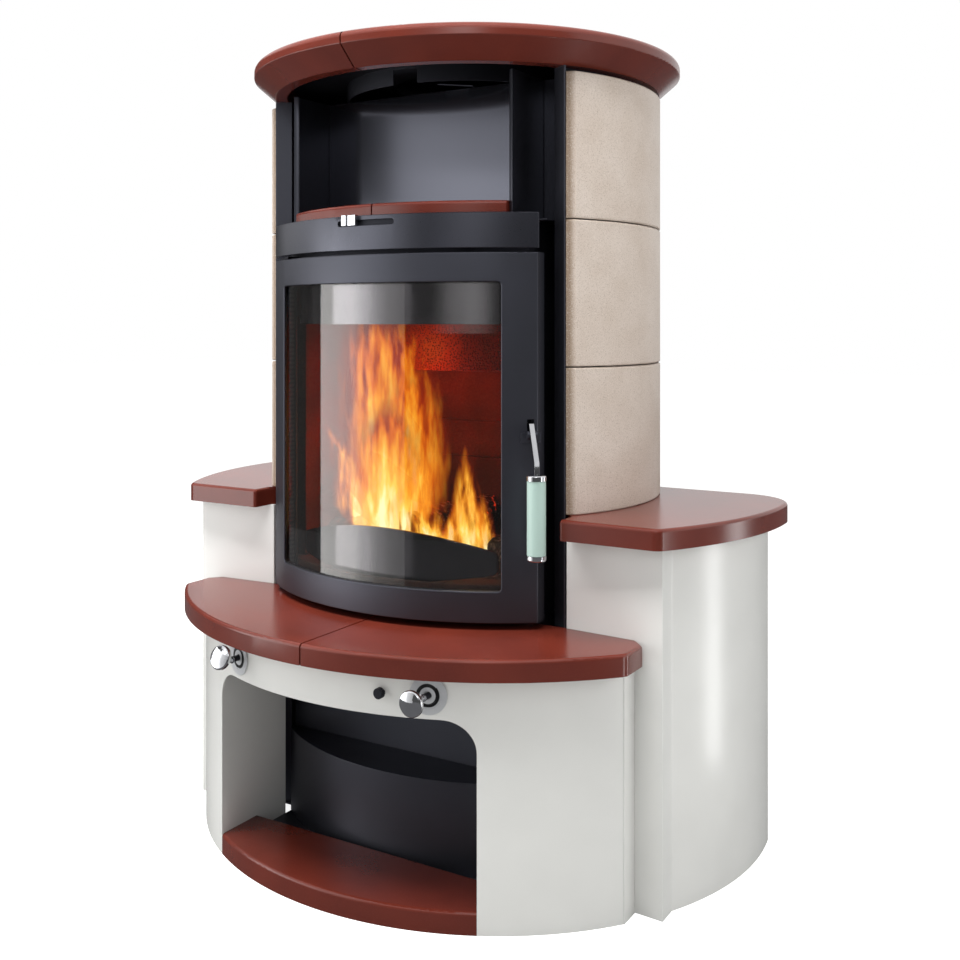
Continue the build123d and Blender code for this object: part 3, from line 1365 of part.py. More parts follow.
# ---------------------------------------------------------------- fasteners
with BuildPart() as casing_screws:
    screw_radius = 5.0
    screw_inset = 15.0
    screw_rows = 3
    screw_pitch = (plate_low_z - wing_top_z) / screw_rows
    with BuildSketch(Plane.XZ.offset(-rear_y)):
        with Locations((0, (plate_low_z + wing_top_z) / 2)):
            with GridLocations(2 * (casing_half - screw_inset), screw_pitch, 2, screw_rows):
                RegularPolygon(screw_radius, 6)
    extrude(amount=-0.8 * screw_radius)
save(casing_screws, "casing_screws")

with BuildPart() as frame_screws:
    head_radius = 3.5
    head_height = 2.0
    screw_angle = degrees(asin((inner_frame_half_width - seal_inset / 2) / inner_frame_radius))
    frame_screw_pitch = (door_top_z - door_bottom_z) / 3
    for side in (-1, 1):
        for row in (-1, 0, 1):
            z = (door_bottom_z + door_top_z) / 2 + row * frame_screw_pitch
            face = radial_plane(front_axis_y, inner_frame_radius, side * screw_angle)
            with BuildSketch(face):
                with Locations((-(head_height + fit_gap) / 2, z + head_radius / 2)):
                    Rectangle(head_height, head_radius)
            revolve(axis=Axis((*polar(front_axis_y, inner_frame_radius, side * screw_angle), z), face.x_dir))
save(frame_screws, "frame_screws")
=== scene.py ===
"""A tiled wood stove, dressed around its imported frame.

Each sub-assembly is a class with its sizes as fields, a method that builds its meshes and a
method that dresses them.  Each finish is a frozen dataclass that makes one material.
Lengths are metres in the frame of the stove: +Z up, the front towards -Y, the floor at z = 0.
"""

import json
import logging
from dataclasses import dataclass, field
from enum import Enum
from math import cos, pi, radians, sin

import bmesh
import bpy
from mathutils import Euler, Matrix, Vector, noise

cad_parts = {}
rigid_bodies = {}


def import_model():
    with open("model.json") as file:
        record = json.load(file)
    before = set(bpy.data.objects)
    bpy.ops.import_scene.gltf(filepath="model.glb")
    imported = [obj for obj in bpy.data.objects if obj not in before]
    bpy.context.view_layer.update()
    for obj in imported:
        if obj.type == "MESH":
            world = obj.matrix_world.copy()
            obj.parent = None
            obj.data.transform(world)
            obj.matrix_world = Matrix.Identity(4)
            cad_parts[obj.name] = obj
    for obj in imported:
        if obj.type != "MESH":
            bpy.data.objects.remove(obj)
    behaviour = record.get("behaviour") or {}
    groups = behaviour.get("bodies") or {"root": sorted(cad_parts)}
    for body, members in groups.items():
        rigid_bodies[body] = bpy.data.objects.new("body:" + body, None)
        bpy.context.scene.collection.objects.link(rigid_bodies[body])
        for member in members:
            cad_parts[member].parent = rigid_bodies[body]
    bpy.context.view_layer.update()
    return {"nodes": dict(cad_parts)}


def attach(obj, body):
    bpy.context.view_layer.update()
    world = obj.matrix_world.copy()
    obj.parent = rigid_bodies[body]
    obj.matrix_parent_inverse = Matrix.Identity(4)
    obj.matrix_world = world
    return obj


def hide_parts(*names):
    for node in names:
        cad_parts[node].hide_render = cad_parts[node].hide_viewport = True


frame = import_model()

MM = 0.001
LOG = logging.getLogger("stove")

Tree = bpy.types.NodeTree
Socket = bpy.types.NodeSocket
Shape = bmesh.types.BMesh
Thing = bpy.types.Object


# ---- small tools
def linear(hex_code: str) -> tuple[float, float, float, float]:
    """Turns an sRGB hex value into the linear colour that a shader takes.

    Args:
        hex_code: a value such as "#873e30".

    Returns:
        Red, green, blue and an alpha of 1.
    """
    parts = [int(hex_code[i : i + 2], 16) / 255 for i in (1, 3, 5)]
    shades = [p / 12.92 if p <= 0.04045 else ((p + 0.055) / 1.055) ** 2.4 for p in parts]
    return (*shades, 1.0)


def add_node(tree: Tree, kind: str, inputs: dict | None = None, **settings: object) -> bpy.types.Node:
    """Adds a node with its settings, its input values and its links.

    Args:
        tree: the node tree that gets the node.
        kind: Blender's name for the node type, without the ShaderNode that starts it.
        inputs: socket name or number to a value or to the socket that feeds it.
        settings: attributes of the node itself.

    Returns:
        The new node.
    """
    node = tree.nodes.new(f"ShaderNode{kind}")
    for name, value in settings.items():
        setattr(node, name, value)
    for name, value in (inputs or {}).items():
        if isinstance(value, Socket):
            tree.links.new(value, node.inputs[name])
        else:
            node.inputs[name].default_value = value
    return node


def per_metre(pitch_mm: float) -> float:
    """Texture scale that repeats once in a length given in millimetres."""
    return 1 / (pitch_mm * MM)


def set_ramp(node: bpy.types.Node, stops: list[tuple[float, tuple[float, float, float, float]]]) -> None:
    """Gives a colour ramp its stops.

    Args:
        node: the colour ramp node.
        stops: place and colour of each stop.
    """
    ramp = node.color_ramp
    while len(ramp.elements) < len(stops):
        ramp.elements.new(1.0)
    for element, (place, colour) in zip(ramp.elements, stops):
        element.position = place
        element.color = colour


def emptied(owner: bpy.types.ID) -> Tree:
    """Gives a material, a lamp or the world an empty node tree.

    Args:
        owner: what gets the tree.

    Returns:
        The tree.
    """
    owner.use_nodes = True
    owner.node_tree.nodes.clear()
    return owner.node_tree


def mesh_of(bm: Shape, name: str) -> bpy.types.Mesh:
    """Writes an open mesh to a mesh of the file.

    Args:
        bm: the open mesh, which is freed.
        name: name of the new mesh.

    Returns:
        The new mesh.
    """
    mesh = bpy.data.meshes.new(name)
    bm.to_mesh(mesh)
    bm.free()
    return mesh


def stand(name: str, data: bpy.types.ID) -> Thing:
    """Stands a mesh, a lamp or a camera in the scene.

    Args:
        name: name of the object.
        data: what it shows.

    Returns:
        The object.
    """
    thing = bpy.data.objects.new(name, data)
    bpy.context.scene.collection.objects.link(thing)
    return thing


# ---- finishes
@dataclass(frozen=True)
class Finish:
    """A surface finish. A subclass says how its shader is made."""

    name: str
    cloud_mm: float = 70.0

    def shade(self, at: Socket) -> dict:
        """Returns the inputs of the Principled shader, made from the object's coordinates in metres."""
        raise NotImplementedError

    def material(self) -> bpy.types.Material:
        """Makes the material of this finish on first use.

        Returns:
            The material.
        """
        made = bpy.data.materials.get(self.name)
        if made is None:
            made = bpy.data.materials.new(self.name)
            tree = emptied(made)
            at = add_node(tree, "TexCoord").outputs["Object"]
            shader = add_node(tree, "BsdfPrincipled", self.shade(at))
            add_node(tree, "OutputMaterial", {"Surface": shader.outputs[0]})
        return made

    @staticmethod
    def grain(at: Socket, pitch_mm: float, detail: float = 2.0) -> Socket:
        """Returns a noise between 0 and 1 with spots of a given size and finer layers of detail."""
        inputs = {"Vector": at, "Scale": per_metre(pitch_mm), "Detail": detail}
        return add_node(at.id_data, "TexNoise", inputs).outputs["Fac"]

    @staticmethod
    def span(value: Socket, low: float, high: float, start: float = 0.3, end: float = 0.7) -> Socket:
        """Maps a value to a range: low at start and below, high at end and above."""
        inputs = {"Value": value, "From Min": start, "From Max": end, "To Min": low, "To Max": high}
        return add_node(value.id_data, "MapRange", inputs).outputs["Result"]

    @staticmethod
    def blend(share: Socket, first: tuple | Socket, second: tuple | Socket) -> Socket:
        """Mixes two colours, each a value or a socket, by the share of the second."""
        return add_node(share.id_data, "Mix", {0: share, 6: first, 7: second}, data_type="RGBA").outputs[2]

    def clouded(self, at: Socket, first: str, second: str) -> Socket:
        """Returns a tone that wanders between two hex values in clouds of the finish's own size."""
        clouds = self.span(self.grain(at, self.cloud_mm), 0, 1)
        return self.blend(clouds, linear(first), linear(second))

    @staticmethod
    def relief(height: Socket, depth_mm: float, strength: float = 1.0) -> Socket:
        """Returns a normal that follows a height of a real depth."""
        inputs = {"Height": height, "Distance": depth_mm * MM, "Strength": strength}
        return add_node(height.id_data, "Bump", inputs).outputs["Normal"]


@dataclass(frozen=True)
class DippedGlaze(Finish):
    """Stoneware slab dipped in a red-brown glaze and fired.

    The eye sees an even satin brown, a little darker where the glaze pooled, with soft
    reflections that waver over a faintly uneven surface.  Its grit is finer than half a
    millimetre and drawn coarser, so that it shows.
    """

    colour: str = "#66291e"
    pooled: str = "#5a241b"
    thin: str = "#6f3328"
    cloud_mm: float = 110.0
    wave_mm: float = 24.0
    grit_mm: float = 1.8

    def shade(self, at: Socket) -> dict:
        """Makes the glaze: three tones, a wavering gloss and a fine relief.

        Args:
            at: the object's coordinates.

        Returns:
            The shader's inputs.
        """
        tone = self.clouded(at, self.colour, self.pooled)
        grit = self.grain(at, self.grit_mm, 1.0)
        tone = self.blend(self.span(grit, 0, 0.30, 0.55, 0.75), tone, linear(self.thin))
        wave = self.grain(at, self.wave_mm, 1.0)
        return {
            "Base Color": tone,
            "Roughness": self.span(grit, 0.20, 0.26),
            "IOR": 1.5,
            "Normal": self.relief(wave, 0.04, 0.2),
        }


@dataclass(frozen=True)
class SpeckledTile(Finish):
    """Chamotte tile with a matt beige engobe, pressed and fired.

    The eye sees a warm sand colour full of small darker and paler grains.  The chamfer beside
    the column is painted darker and browner as painted shade, since it turns to the front,
    where little light falls.  The grains are about half a millimetre, too fine to show, so
    they are drawn about three times as coarse.
    """

    colour: str = "#c8bbb0"
    warm: str = "#bdaea1"
    dark_grain: str = "#7d6a58"
    pale_grain: str = "#dbd2c8"
    chamfer_shade: str = "#877361"
    grain_mm: float = 1.7
    chamfer: tuple = (58.0, 60.6)
    axis_mm: float = -10.0
    pale_shift: tuple = (0.37, 0.11, 0.53)

    def beside_column(self, at: Socket) -> Socket:
        """Finds the chamfer beside the column.

        Args:
            at: the object's own coordinates.

        Returns:
            The socket with 1 on the chamfer, where shade is painted, and 0 on the face of the tile.
        """
        tree = at.id_data
        split = add_node(tree, "SeparateXYZ", {0: at})
        across = add_node(tree, "Math", {0: split.outputs[0]}, operation="ABSOLUTE").outputs[0]
        ahead = add_node(tree, "Math", {0: self.axis_mm * MM, 1: split.outputs[1]},
                         operation="SUBTRACT").outputs[0]
        turn = add_node(tree, "Math", {0: across, 1: ahead}, operation="ARCTAN2").outputs[0]
        first, last = (radians(angle) for angle in self.chamfer)
        return self.span(turn, 1, 0, (first + last) / 2, last)

    def shade(self, at: Socket) -> dict:
        """Makes the body colour, two kinds of grain and a gritty relief.

        Args:
            at: the object's coordinates.

        Returns:
            The shader's inputs.
        """
        tree = at.id_data
        clouds = self.span(self.grain(at, self.cloud_mm, 3.0), 0, 1)
        tone = self.blend(clouds, linear(self.colour), linear(self.warm))
        # painted shade: the chamfer beside the column is darkened to chamfer_shade
        tone = self.blend(self.beside_column(at), tone, linear(self.chamfer_shade))
        dark = self.grain(at, self.grain_mm, 1.0)
        tone = self.blend(self.span(dark, 0, 0.55, 0.54, 0.72), tone, linear(self.dark_grain))
        shifted = add_node(tree, "VectorMath", {0: at, 1: self.pale_shift}).outputs[0]
        pale = self.grain(shifted, self.grain_mm, 1.0)
        tone = self.blend(self.span(pale, 0, 0.45, 0.55, 0.74), tone, linear(self.pale_grain))
        return {
            "Base Color": tone,
            "Roughness": self.span(dark, 0.40, 0.50),
            "Normal": self.relief(dark, 0.10, 0.35),
        }


@dataclass(frozen=True)
class PowderCoat(Finish):
    """Steel sheet with a baked white powder coat.

    The eye sees an even off-white with soft highlights and a barely visible orange peel.
    """

    colour: str = "#dfdfdc"
    shadow_tone: str = "#d8d8d5"
    cloud_mm: float = 160.0
    orange_peel_mm: float = 3.0

    def shade(self, at: Socket) -> dict:
        """Makes the coat with a faint cloud of tone and an orange peel.

        Args:
            at: the object's coordinates.

        Returns:
            The shader's inputs.
        """
        peel = self.grain(at, self.orange_peel_mm)
        return {
            "Base Color": self.clouded(at, self.colour, self.shadow_tone),
            "Roughness": self.span(peel, 0.20, 0.26),
            "Normal": self.relief(peel, 0.015, 0.2),
        }


@dataclass(frozen=True)
class StovePaint(Finish):
    """Steel sheet with heat-proof silicone paint, sprayed and burnt in.

    The eye sees a deep blue-black with a satin sheen that is broken by a fine spray grain,
    which is about 0.3 mm and drawn four times as coarse, so that it shows.
    """

    colour: str = "#101013"
    worn: str = "#15151a"
    gloss: float = 0.42
    index: float = 2.0
    spread: float = 0.08
    spray_mm: float = 1.2
    relief_mm: float = 0.01
    sheen_tone: str = "#dfe2f5"

    def shade(self, at: Socket) -> dict:
        """Makes the paint: two close blacks, a satin gloss and the spray grain.

        Args:
            at: the object's coordinates.

        Returns:
            The shader's inputs.
        """
        spray = self.grain(at, self.spray_mm)
        return {
            "Base Color": self.clouded(at, self.colour, self.worn),
            "Roughness": self.span(spray, self.gloss, self.gloss + self.spread),
            "IOR": self.index,
            "Specular Tint": linear(self.sheen_tone),
            "Normal": self.relief(spray, self.relief_mm, 0.15),
        }


@dataclass(frozen=True)
class Rosette(Finish):
    """Satin aluminium disc with a black dial ring round the shaft.

    The eye sees a pale, softly brushed disc and a sharp black ring in it.  The brushing is
    drawn about ten times as coarse as it is, so that it shows.
    """

    pale: str = "#c6c8cb"
    dial: str = "#0b0b0d"
    axis: tuple = (0.192, 0.0, 0.365)
    lean: float = 0.93
    ring: tuple = (0.0128, 0.0184)
    ring_blur: float = 0.0003
    brush_mm: float = 2.0

    def shade(self, at: Socket) -> dict:
        """Makes the disc and the ring by the distance from the shaft.

        Args:
            at: the object's coordinates.

        Returns:
            The shader's inputs.
        """
        tree = at.id_data
        whole = add_node(tree, "VectorMath", {0: at}, operation="ABSOLUTE").outputs[0]
        flat = add_node(tree, "VectorMath", {0: whole, 1: (1 / self.lean, 0.0, 1.0)},
                        operation="MULTIPLY").outputs[0]
        middle = (self.axis[0] / self.lean, 0.0, self.axis[2])
        away = add_node(tree, "VectorMath", {0: flat, 1: middle}, operation="DISTANCE")
        away = away.outputs["Value"]
        inner, outer = self.ring
        inside = self.span(away, 1, 0, outer - self.ring_blur, outer + self.ring_blur)
        beyond = self.span(away, 0, 1, inner - self.ring_blur, inner + self.ring_blur)
        black = add_node(tree, "Math", {0: inside, 1: beyond}, operation="MULTIPLY").outputs[0]
        brushed = self.grain(at, self.brush_mm)
        return {
            "Base Color": self.blend(black, linear(self.pale), linear(self.dial)),
            "Metallic": self.span(black, 0.3, 0.0, 0.0, 1.0),
            "Roughness": self.span(brushed, 0.30, 0.38),
            "Normal": self.relief(brushed, 0.01, 0.2),
        }


class Draw(Enum):
    """Direction in which a metal was rubbed."""

    ALONG_Z = (1.0, 1.0, 0.03)
    ALONG_X = (0.03, 1.0, 1.0)
    NONE = (1.0, 1.0, 1.0)


@dataclass(frozen=True)
class BareMetal(Finish):
    """Bare steel, zinc or chromium.

    The eye sees a bright or grey mirror, blurred along the direction in which it was rubbed.
    The scratches are about 0.2 mm apart and drawn coarser, so that they show.
    """

    colour: str = "#c6c8cb"
    dull: str = "#a9abb0"
    gloss: float = 0.16
    spread: float = 0.10
    scratch_mm: float = 1.5
    cloud_mm: float = 25.0
    draw: Draw = Draw.NONE

    def shade(self, at: Socket) -> dict:
        """Makes the metal with fine scratches that follow the draw.

        Args:
            at: the object's coordinates.

        Returns:
            The shader's inputs.
        """
        tree = at.id_data
        drawn = add_node(tree, "Mapping", {"Vector": at, "Scale": self.draw.value}).outputs[0]
        scratch = self.grain(drawn, self.scratch_mm, 4.0)
        return {
            "Base Color": self.clouded(at, self.colour, self.dull),
            "Metallic": 1.0,
            "Roughness": self.span(scratch, self.gloss, self.gloss + self.spread),
            "Normal": self.relief(scratch, 0.01, 0.2),
        }


@dataclass(frozen=True)
class FireClay(Finish):
    """Pressed fire-clay or vermiculite board.

    The eye sees a rough sandy brown, mottled by flakes and darkened by clouds of soot.
    """

    colour: str = "#3a2018"
    flake: str = "#4e2e20"
    soot: str = "#120806"
    flake_mm: float = 4.0
    soot_mm: float = 110.0

    def shade(self, at: Socket) -> dict:
        """Makes the mottled board with its flakes standing out.

        Args:
            at: the object's coordinates.

        Returns:
            The shader's inputs.
        """
        flakes = self.grain(at, self.flake_mm, 3.0)
        tone = self.blend(self.span(flakes, 0, 1), linear(self.colour), linear(self.flake))
        stain = self.span(self.grain(at, self.soot_mm), 0.1, 0.75)
        return {
            "Base Color": self.blend(stain, tone, linear(self.soot)),
            "Roughness": 0.9,
            "Normal": self.relief(flakes, 0.8, 0.6),
        }


@dataclass(frozen=True)
class PorousCeramic(Finish):
    """Open-celled foam ceramic, red hot in use.

    The eye sees a bright rusty crumb, glowing with heat and, as painted light, brightest where
    the flames below would light it.  Its pores, a few millimetres wide, are darkened as painted
    shade.
    """

    colour: str = "#43180c"
    pore_shade: str = "#0c0302"
    pore_mm: float = 4.0
    heat: float = 0.6
    hot_and_lit_spot: tuple = (-0.045, -0.02, 0.885)
    reach_mm: float = 115.0

    def shade(self, at: Socket) -> dict:
        """Makes the cells with their dark pores.

        Args:
            at: the object's coordinates.

        Returns:
            The shader's inputs.
        """
        tree = at.id_data
        cells = add_node(tree, "TexVoronoi", {"Vector": at, "Scale": per_metre(self.pore_mm)})
        depth = self.span(cells.outputs["Distance"], 0, 1, 0.15, 0.55)
        # the glow is the heat of the ceramic and partly painted light: brightest round the spot that the
        # flames below would light
        away = add_node(tree, "VectorMath", {0: at, 1: self.hot_and_lit_spot}, operation="DISTANCE")
        hot = self.span(away.outputs["Value"], 1, 0, 0.0, self.reach_mm * MM)
        glow = add_node(tree, "ValToRGB", {0: hot})
        set_ramp(glow, [
            (0.0, linear("#120201")),
            (0.3, linear("#4a0d03")),
            (0.6, linear("#a82a08")),
            (1.0, linear("#ee6420")),
        ])
        return {
            # painted shade: the pores are darkened to pore_shade, in colour and in glow
            "Base Color": self.blend(depth, linear(self.pore_shade), linear(self.colour)),
            "Roughness": 0.95,
            "Emission Color": self.blend(depth, linear(self.pore_shade), glow.outputs[0]),
            "Emission Strength": self.heat,
            "Normal": self.relief(depth, 2.0, 0.8),
        }


@dataclass(frozen=True)
class CastIron(Finish):
    """Sand-cast grey iron with a burnt surface: dark, rough and slightly brown."""

    colour: str = "#2b2826"
    rust: str = "#3d2b22"
    sand_mm: float = 2.0
    stain_mm: float = 30.0

    def shade(self, at: Socket) -> dict:
        """Makes the sandy iron.

        Args:
            at: the object's coordinates.

        Returns:
            The shader's inputs.
        """
        sand = self.grain(at, self.sand_mm, 3.0)
        stain = self.span(self.grain(at, self.stain_mm), 0, 0.8)
        return {
            "Base Color": self.blend(stain, linear(self.colour), linear(self.rust)),
            "Roughness": self.span(sand, 0.62, 0.80),
            "Normal": self.relief(sand, 0.5, 0.5),
        }


@dataclass(frozen=True)
class BraidedRope(Finish):
    """Black glass-fibre rope: matt, with a braid of crossing strands about 3 mm wide."""

    colour: str = "#1c1b1b"
    strand_crest_light: str = "#3a3836"
    strand_mm: float = 3.0

    def shade(self, at: Socket) -> dict:
        """Makes the braid from two crossing waves.

        Args:
            at: the object's coordinates.

        Returns:
            The shader's inputs.
        """
        tree = at.id_data
        waves = []
        for turn in (1, -1):
            turned = add_node(tree, "Mapping", {
                "Vector": at, "Rotation": (0, turn * radians(45), 0),
            }).outputs[0]
            waves.append(add_node(tree, "TexWave", {
                "Vector": turned, "Scale": per_metre(self.strand_mm) / (2 * pi),
            }).outputs["Fac"])
        braid = add_node(tree, "Math", {0: waves[0], 1: waves[1]}, operation="MAXIMUM").outputs[0]
        # painted light and shade: the crests of the strands get the lighter strand_crest_light and the
        # grooves between them the darker colour
        return {
            "Base Color": self.blend(braid, linear(self.colour), linear(self.strand_crest_light)),
            "Roughness": 0.9,
            "Normal": self.relief(braid, 0.6, 0.7),
        }


@dataclass(frozen=True)
class FrostedGlass(Finish):
    """Mint glass tube, sand-blasted: it glows softly and shows nothing sharp behind it.

    The frost is about 0.1 mm and drawn coarser, so that it shows.
    """

    colour: str = "#b9d6cc"
    deep: str = "#a2c4b8"
    frost_mm: float = 1.2
    cloud_mm: float = 20.0

    def shade(self, at: Socket) -> dict:
        """Makes the frosted glass.

        Args:
            at: the object's coordinates.

        Returns:
            The shader's inputs.
        """
        frost = self.grain(at, self.frost_mm)
        return {
            "Base Color": self.clouded(at, self.colour, self.deep),
            "Roughness": self.span(frost, 0.38, 0.46),
            "IOR": 1.5,
            "Transmission Weight": 0.3,
            "Subsurface Weight": 0.25,
            "Subsurface Scale": 0.006,
            "Normal": self.relief(frost, 0.02, 0.3),
        }


@dataclass(frozen=True)
class CoatedGlass(Finish):
    """Clear glass-ceramic pane, 4 mm thick.

    The eye sees straight through it, under mirror-sharp reflections of the studio lamps.
    """

    tint: str = "#f3efe9"
    index: float = 1.46
    waver_mm: float = 140.0

    def shade(self, at: Socket) -> dict:
        """Makes the pane.

        Args:
            at: the object's coordinates.

        Returns:
            The shader's inputs.
        """
        waver = self.grain(at, self.waver_mm)
        return {
            "Base Color": linear(self.tint),
            "Roughness": 0.0,
            "IOR": self.index,
            "Specular IOR Level": 0.25,
            "Transmission Weight": 1.0,
            "Normal": self.relief(waver, 0.02, 0.05),
        }


@dataclass(frozen=True)
class Fire(Finish):
    """Flame of burning wood.

    The eye sees streaks that rise, nearly white at the root, then yellow, orange and a thin
    red edge.  The pattern follows the flame's own UV map: u across, v from root to tip.
    """

    brightness: float = 1.0
    thinnest: float = 0.15
    fading: float = 0.45
    cover: float = 0.9
    streak_mm: float = 16.0
    drawn_up: tuple = (1.0, 1.0, 0.16)

    def shade(self, at: Socket) -> dict:
        """Makes the glow and the fading edge of a flame.

        Args:
            at: the object's coordinates.

        Returns:
            The shader's inputs.
        """
        tree = at.id_data
        uv = add_node(tree, "TexCoord").outputs["UV"]
        split = add_node(tree, "SeparateXYZ", {0: uv})
        wisps = add_node(tree, "Mapping", {"Vector": at, "Scale": self.drawn_up}).outputs[0]
        streak = self.grain(wisps, self.streak_mm, 3.0)
        aside = add_node(tree, "Math", {0: split.outputs[0], 1: 0.5}, operation="SUBTRACT").outputs[0]
        edge = add_node(tree, "Math", {0: aside}, operation="ABSOLUTE").outputs[0]
        body = self.span(edge, 1.0, 0.0, 0.05, 0.5)
        rise = self.span(split.outputs[1], 1.0, 0.0, 0.0, 1.0)
        core = add_node(tree, "Math", {0: body, 1: rise}, operation="MULTIPLY").outputs[0]
        flicker = self.span(streak, -0.28, 0.28)
        heat = add_node(tree, "Math", {0: core, 1: flicker}, operation="ADD").outputs[0]
        glow = add_node(tree, "ValToRGB", {0: heat})
        set_ramp(glow, [
            (0.0, linear("#9a2a06")),
            (0.16, linear("#d9660e")),
            (0.36, linear("#f39a26")),
            (0.58, linear("#fcc650")),
            (0.85, linear("#fff3b4")),
        ])
        waning = self.span(split.outputs[1], 1.0, 0.0, self.fading, 1.0)
        thick = add_node(tree, "Math", {0: body, 1: waning}, operation="MULTIPLY").outputs[0]
        wispy = self.span(streak, self.thinnest, 1.0, 0.35, 0.62)
        veil = add_node(tree, "Math", {0: thick, 1: wispy}, operation="MULTIPLY").outputs[0]
        return {
            "Base Color": (0, 0, 0, 1),
            "Roughness": 1.0,
            "Specular IOR Level": 0.0,
            "Emission Color": glow.outputs[0],
            "Emission Strength": self.brightness,
            "Alpha": self.span(veil, 0, self.cover, 0.02, 0.6),
        }


@dataclass(frozen=True)
class BurningWood(Finish):
    """Split beech log half burnt: black char with glowing cracks between its scales."""

    char: str = "#17110e"
    ash: str = "#6b625b"
    crack_mm: float = 19.0
    patch_mm: float = 40.0
    ash_mm: float = 9.0
    glow: float = 3.0

    def shade(self, at: Socket) -> dict:
        """Makes the char scales and the glow in the cracks.

        Args:
            at: the object's coordinates.

        Returns:
            The shader's inputs.
        """
        tree = at.id_data
        cracks = add_node(tree, "TexVoronoi", {"Vector": at, "Scale": per_metre(self.crack_mm)},
                          feature="DISTANCE_TO_EDGE").outputs["Distance"]
        patches = self.span(self.grain(at, self.patch_mm, 4.0), 0, 1, 0.6, 0.74)
        hot = add_node(tree, "Math", {0: self.span(cracks, 1, 0, 0.0, 0.07), 1: patches},
                       operation="MULTIPLY").outputs[0]
        ashes = self.span(self.grain(at, self.ash_mm, 3.0), 0, 1, 0.52, 0.7)
        ember = add_node(tree, "ValToRGB", {0: hot})
        set_ramp(ember, [(0.0, (0, 0, 0, 1)), (0.5, linear("#c02a06")), (1.0, linear("#ff8a2a"))])
        return {
            "Base Color": self.blend(ashes, linear(self.char), linear(self.ash)),
            "Roughness": 0.9,
            "Emission Color": ember.outputs[0],
            "Emission Strength": self.glow,
            "Normal": self.relief(cracks, 3.0, 0.8),
        }


# pale satin disc with a sharp black ring
DIAL = Rosette("satin_aluminium_dial")
# red-brown glaze, satin with wavering reflections
GLAZE = DippedGlaze("dipped_stoneware_glaze")
# sand-coloured tile full of fine grains
TILE = SpeckledTile("chamotte_tile_engobe")
# even off-white coat with soft highlights
WHITE = PowderCoat("white_powder_coat")
# four coats of the same blue-black paint: satin, smoother, dull inside the body, and like dark glass
BLACK = StovePaint("silicone_stove_paint")
SMOOTH_BLACK = StovePaint("silicone_stove_paint_smooth", gloss=0.27)
INNER_BLACK = StovePaint("silicone_stove_paint_matt", gloss=0.5, index=1.5)
NICHE_BLACK = StovePaint("silicone_stove_paint_polished", gloss=0.09, relief_mm=0.0005)
# clear bright mirror
CHROME = BareMetal("polished_chromium", colour="#d9dadd", dull="#cfd0d4", gloss=0.04, spread=0.03)
# dark band that mirrors the lamps almost as steel does
BAND = StovePaint("satin_band_paint", colour="#2a2a2e", worn="#303034", gloss=0.08, index=2.6,
                  relief_mm=0.0005)
# black guard with a clear reflection
GUARD = StovePaint("satin_guard_paint", colour="#0b0b0d", worn="#101012", gloss=0.08, relief_mm=0.0005)
# bright steel, blurred upwards
STEEL = BareMetal("polished_stainless_steel", colour="#c9cacd", dull="#b9babe", gloss=0.12, draw=Draw.ALONG_Z)
# grey steel with a soft streaky shine
BRUSHED = BareMetal("brushed_stainless_steel", gloss=0.28, spread=0.12, draw=Draw.ALONG_X)
# dull grey sheet with the clouds of its zinc
ZINC = BareMetal("galvanised_sheet", colour="#a3a7aa", dull="#868b90", gloss=0.38, spread=0.15,
                 scratch_mm=8.0)
# rough brown board, blackened by soot
CLAY = FireClay("vermiculite_board")
# glowing crumb, its glow partly painted flame light and its pores darkened as painted shade
FOAM = PorousCeramic("foam_ceramic")
# dark rough iron
IRON = CastIron("cast_iron")
# black matt braid
ROPE = BraidedRope("glass_fibre_rope")
# milky mint green
FROST = FrostedGlass("frosted_glass")
# clear pane under sharp reflections
PANE = CoatedGlass("coated_glass_ceramic")
# clear tongue of flame, and the thinner fire round it
FLAME = Fire("wood_flame", brightness=1.5)
VEIL = Fire("wood_flame_veil", brightness=1.25, thinnest=0.72, fading=0.8, cover=0.92)
# char with a few glowing cracks
LOGS = BurningWood("burning_beech")


def body_of(node: str) -> str:
    """Returns the name of the body that carries a node."""
    return frame["nodes"][node].parent.name.removeprefix("body:")


def dress(finish: Finish, *nodes: str) -> None:
    """Gives CAD nodes their finish, their shapes left as they are.

    Args:
        finish: the finish.
        nodes: names of the nodes.
    """
    for name in nodes:
        node = frame["nodes"][name]
        node.data.materials.clear()
        node.data.materials.append(finish.material())
        LOG.info("%s wears %s", name, finish.name)


def put(bm: Shape, name: str, finish: Finish, body: str, replaces: tuple = (),
        sharp: float = 32.0) -> Thing:
    """Makes a finished piece from a mesh.

    Args:
        bm: the mesh, in place, which is freed.
        name: name of the piece.
        finish: its finish.
        body: the body it rides on.
        replaces: the nodes it stands for.
        sharp: angle in degrees over which an edge stays sharp.

    Returns:
        The piece.
    """
    mesh = mesh_of(bm, name)
    mesh.shade_smooth()
    mesh.set_sharp_from_angle(angle=radians(sharp))
    piece = stand(name, mesh)
    mesh.materials.append(finish.material())
    evened = piece.modifiers.new("even_shading", "WEIGHTED_NORMAL")
    evened.keep_sharp = True
    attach(piece, body)
    if replaces:
        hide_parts(*replaces)
    LOG.info("%s built, %d faces, on %s", name, len(mesh.polygons), body)
    return piece


def node_copy(node: str, merge_mm: float = 0.01, flat: float = 0.2) -> Shape:
    """Copies a node's mesh, merges its loose triangles and clears flat seams.

    Args:
        node: name of the CAD node.
        merge_mm: distance within which corners are one.
        flat: angle in degrees up to which neighbouring triangles become one face.

    Returns:
        The merged copy.
    """
    bm = bmesh.new()
    bm.from_mesh(frame["nodes"][node].data)
    bmesh.ops.remove_doubles(bm, verts=bm.verts[:], dist=merge_mm * MM)
    bmesh.ops.dissolve_limit(bm, angle_limit=radians(flat), verts=bm.verts[:], edges=bm.edges[:])
    return bm


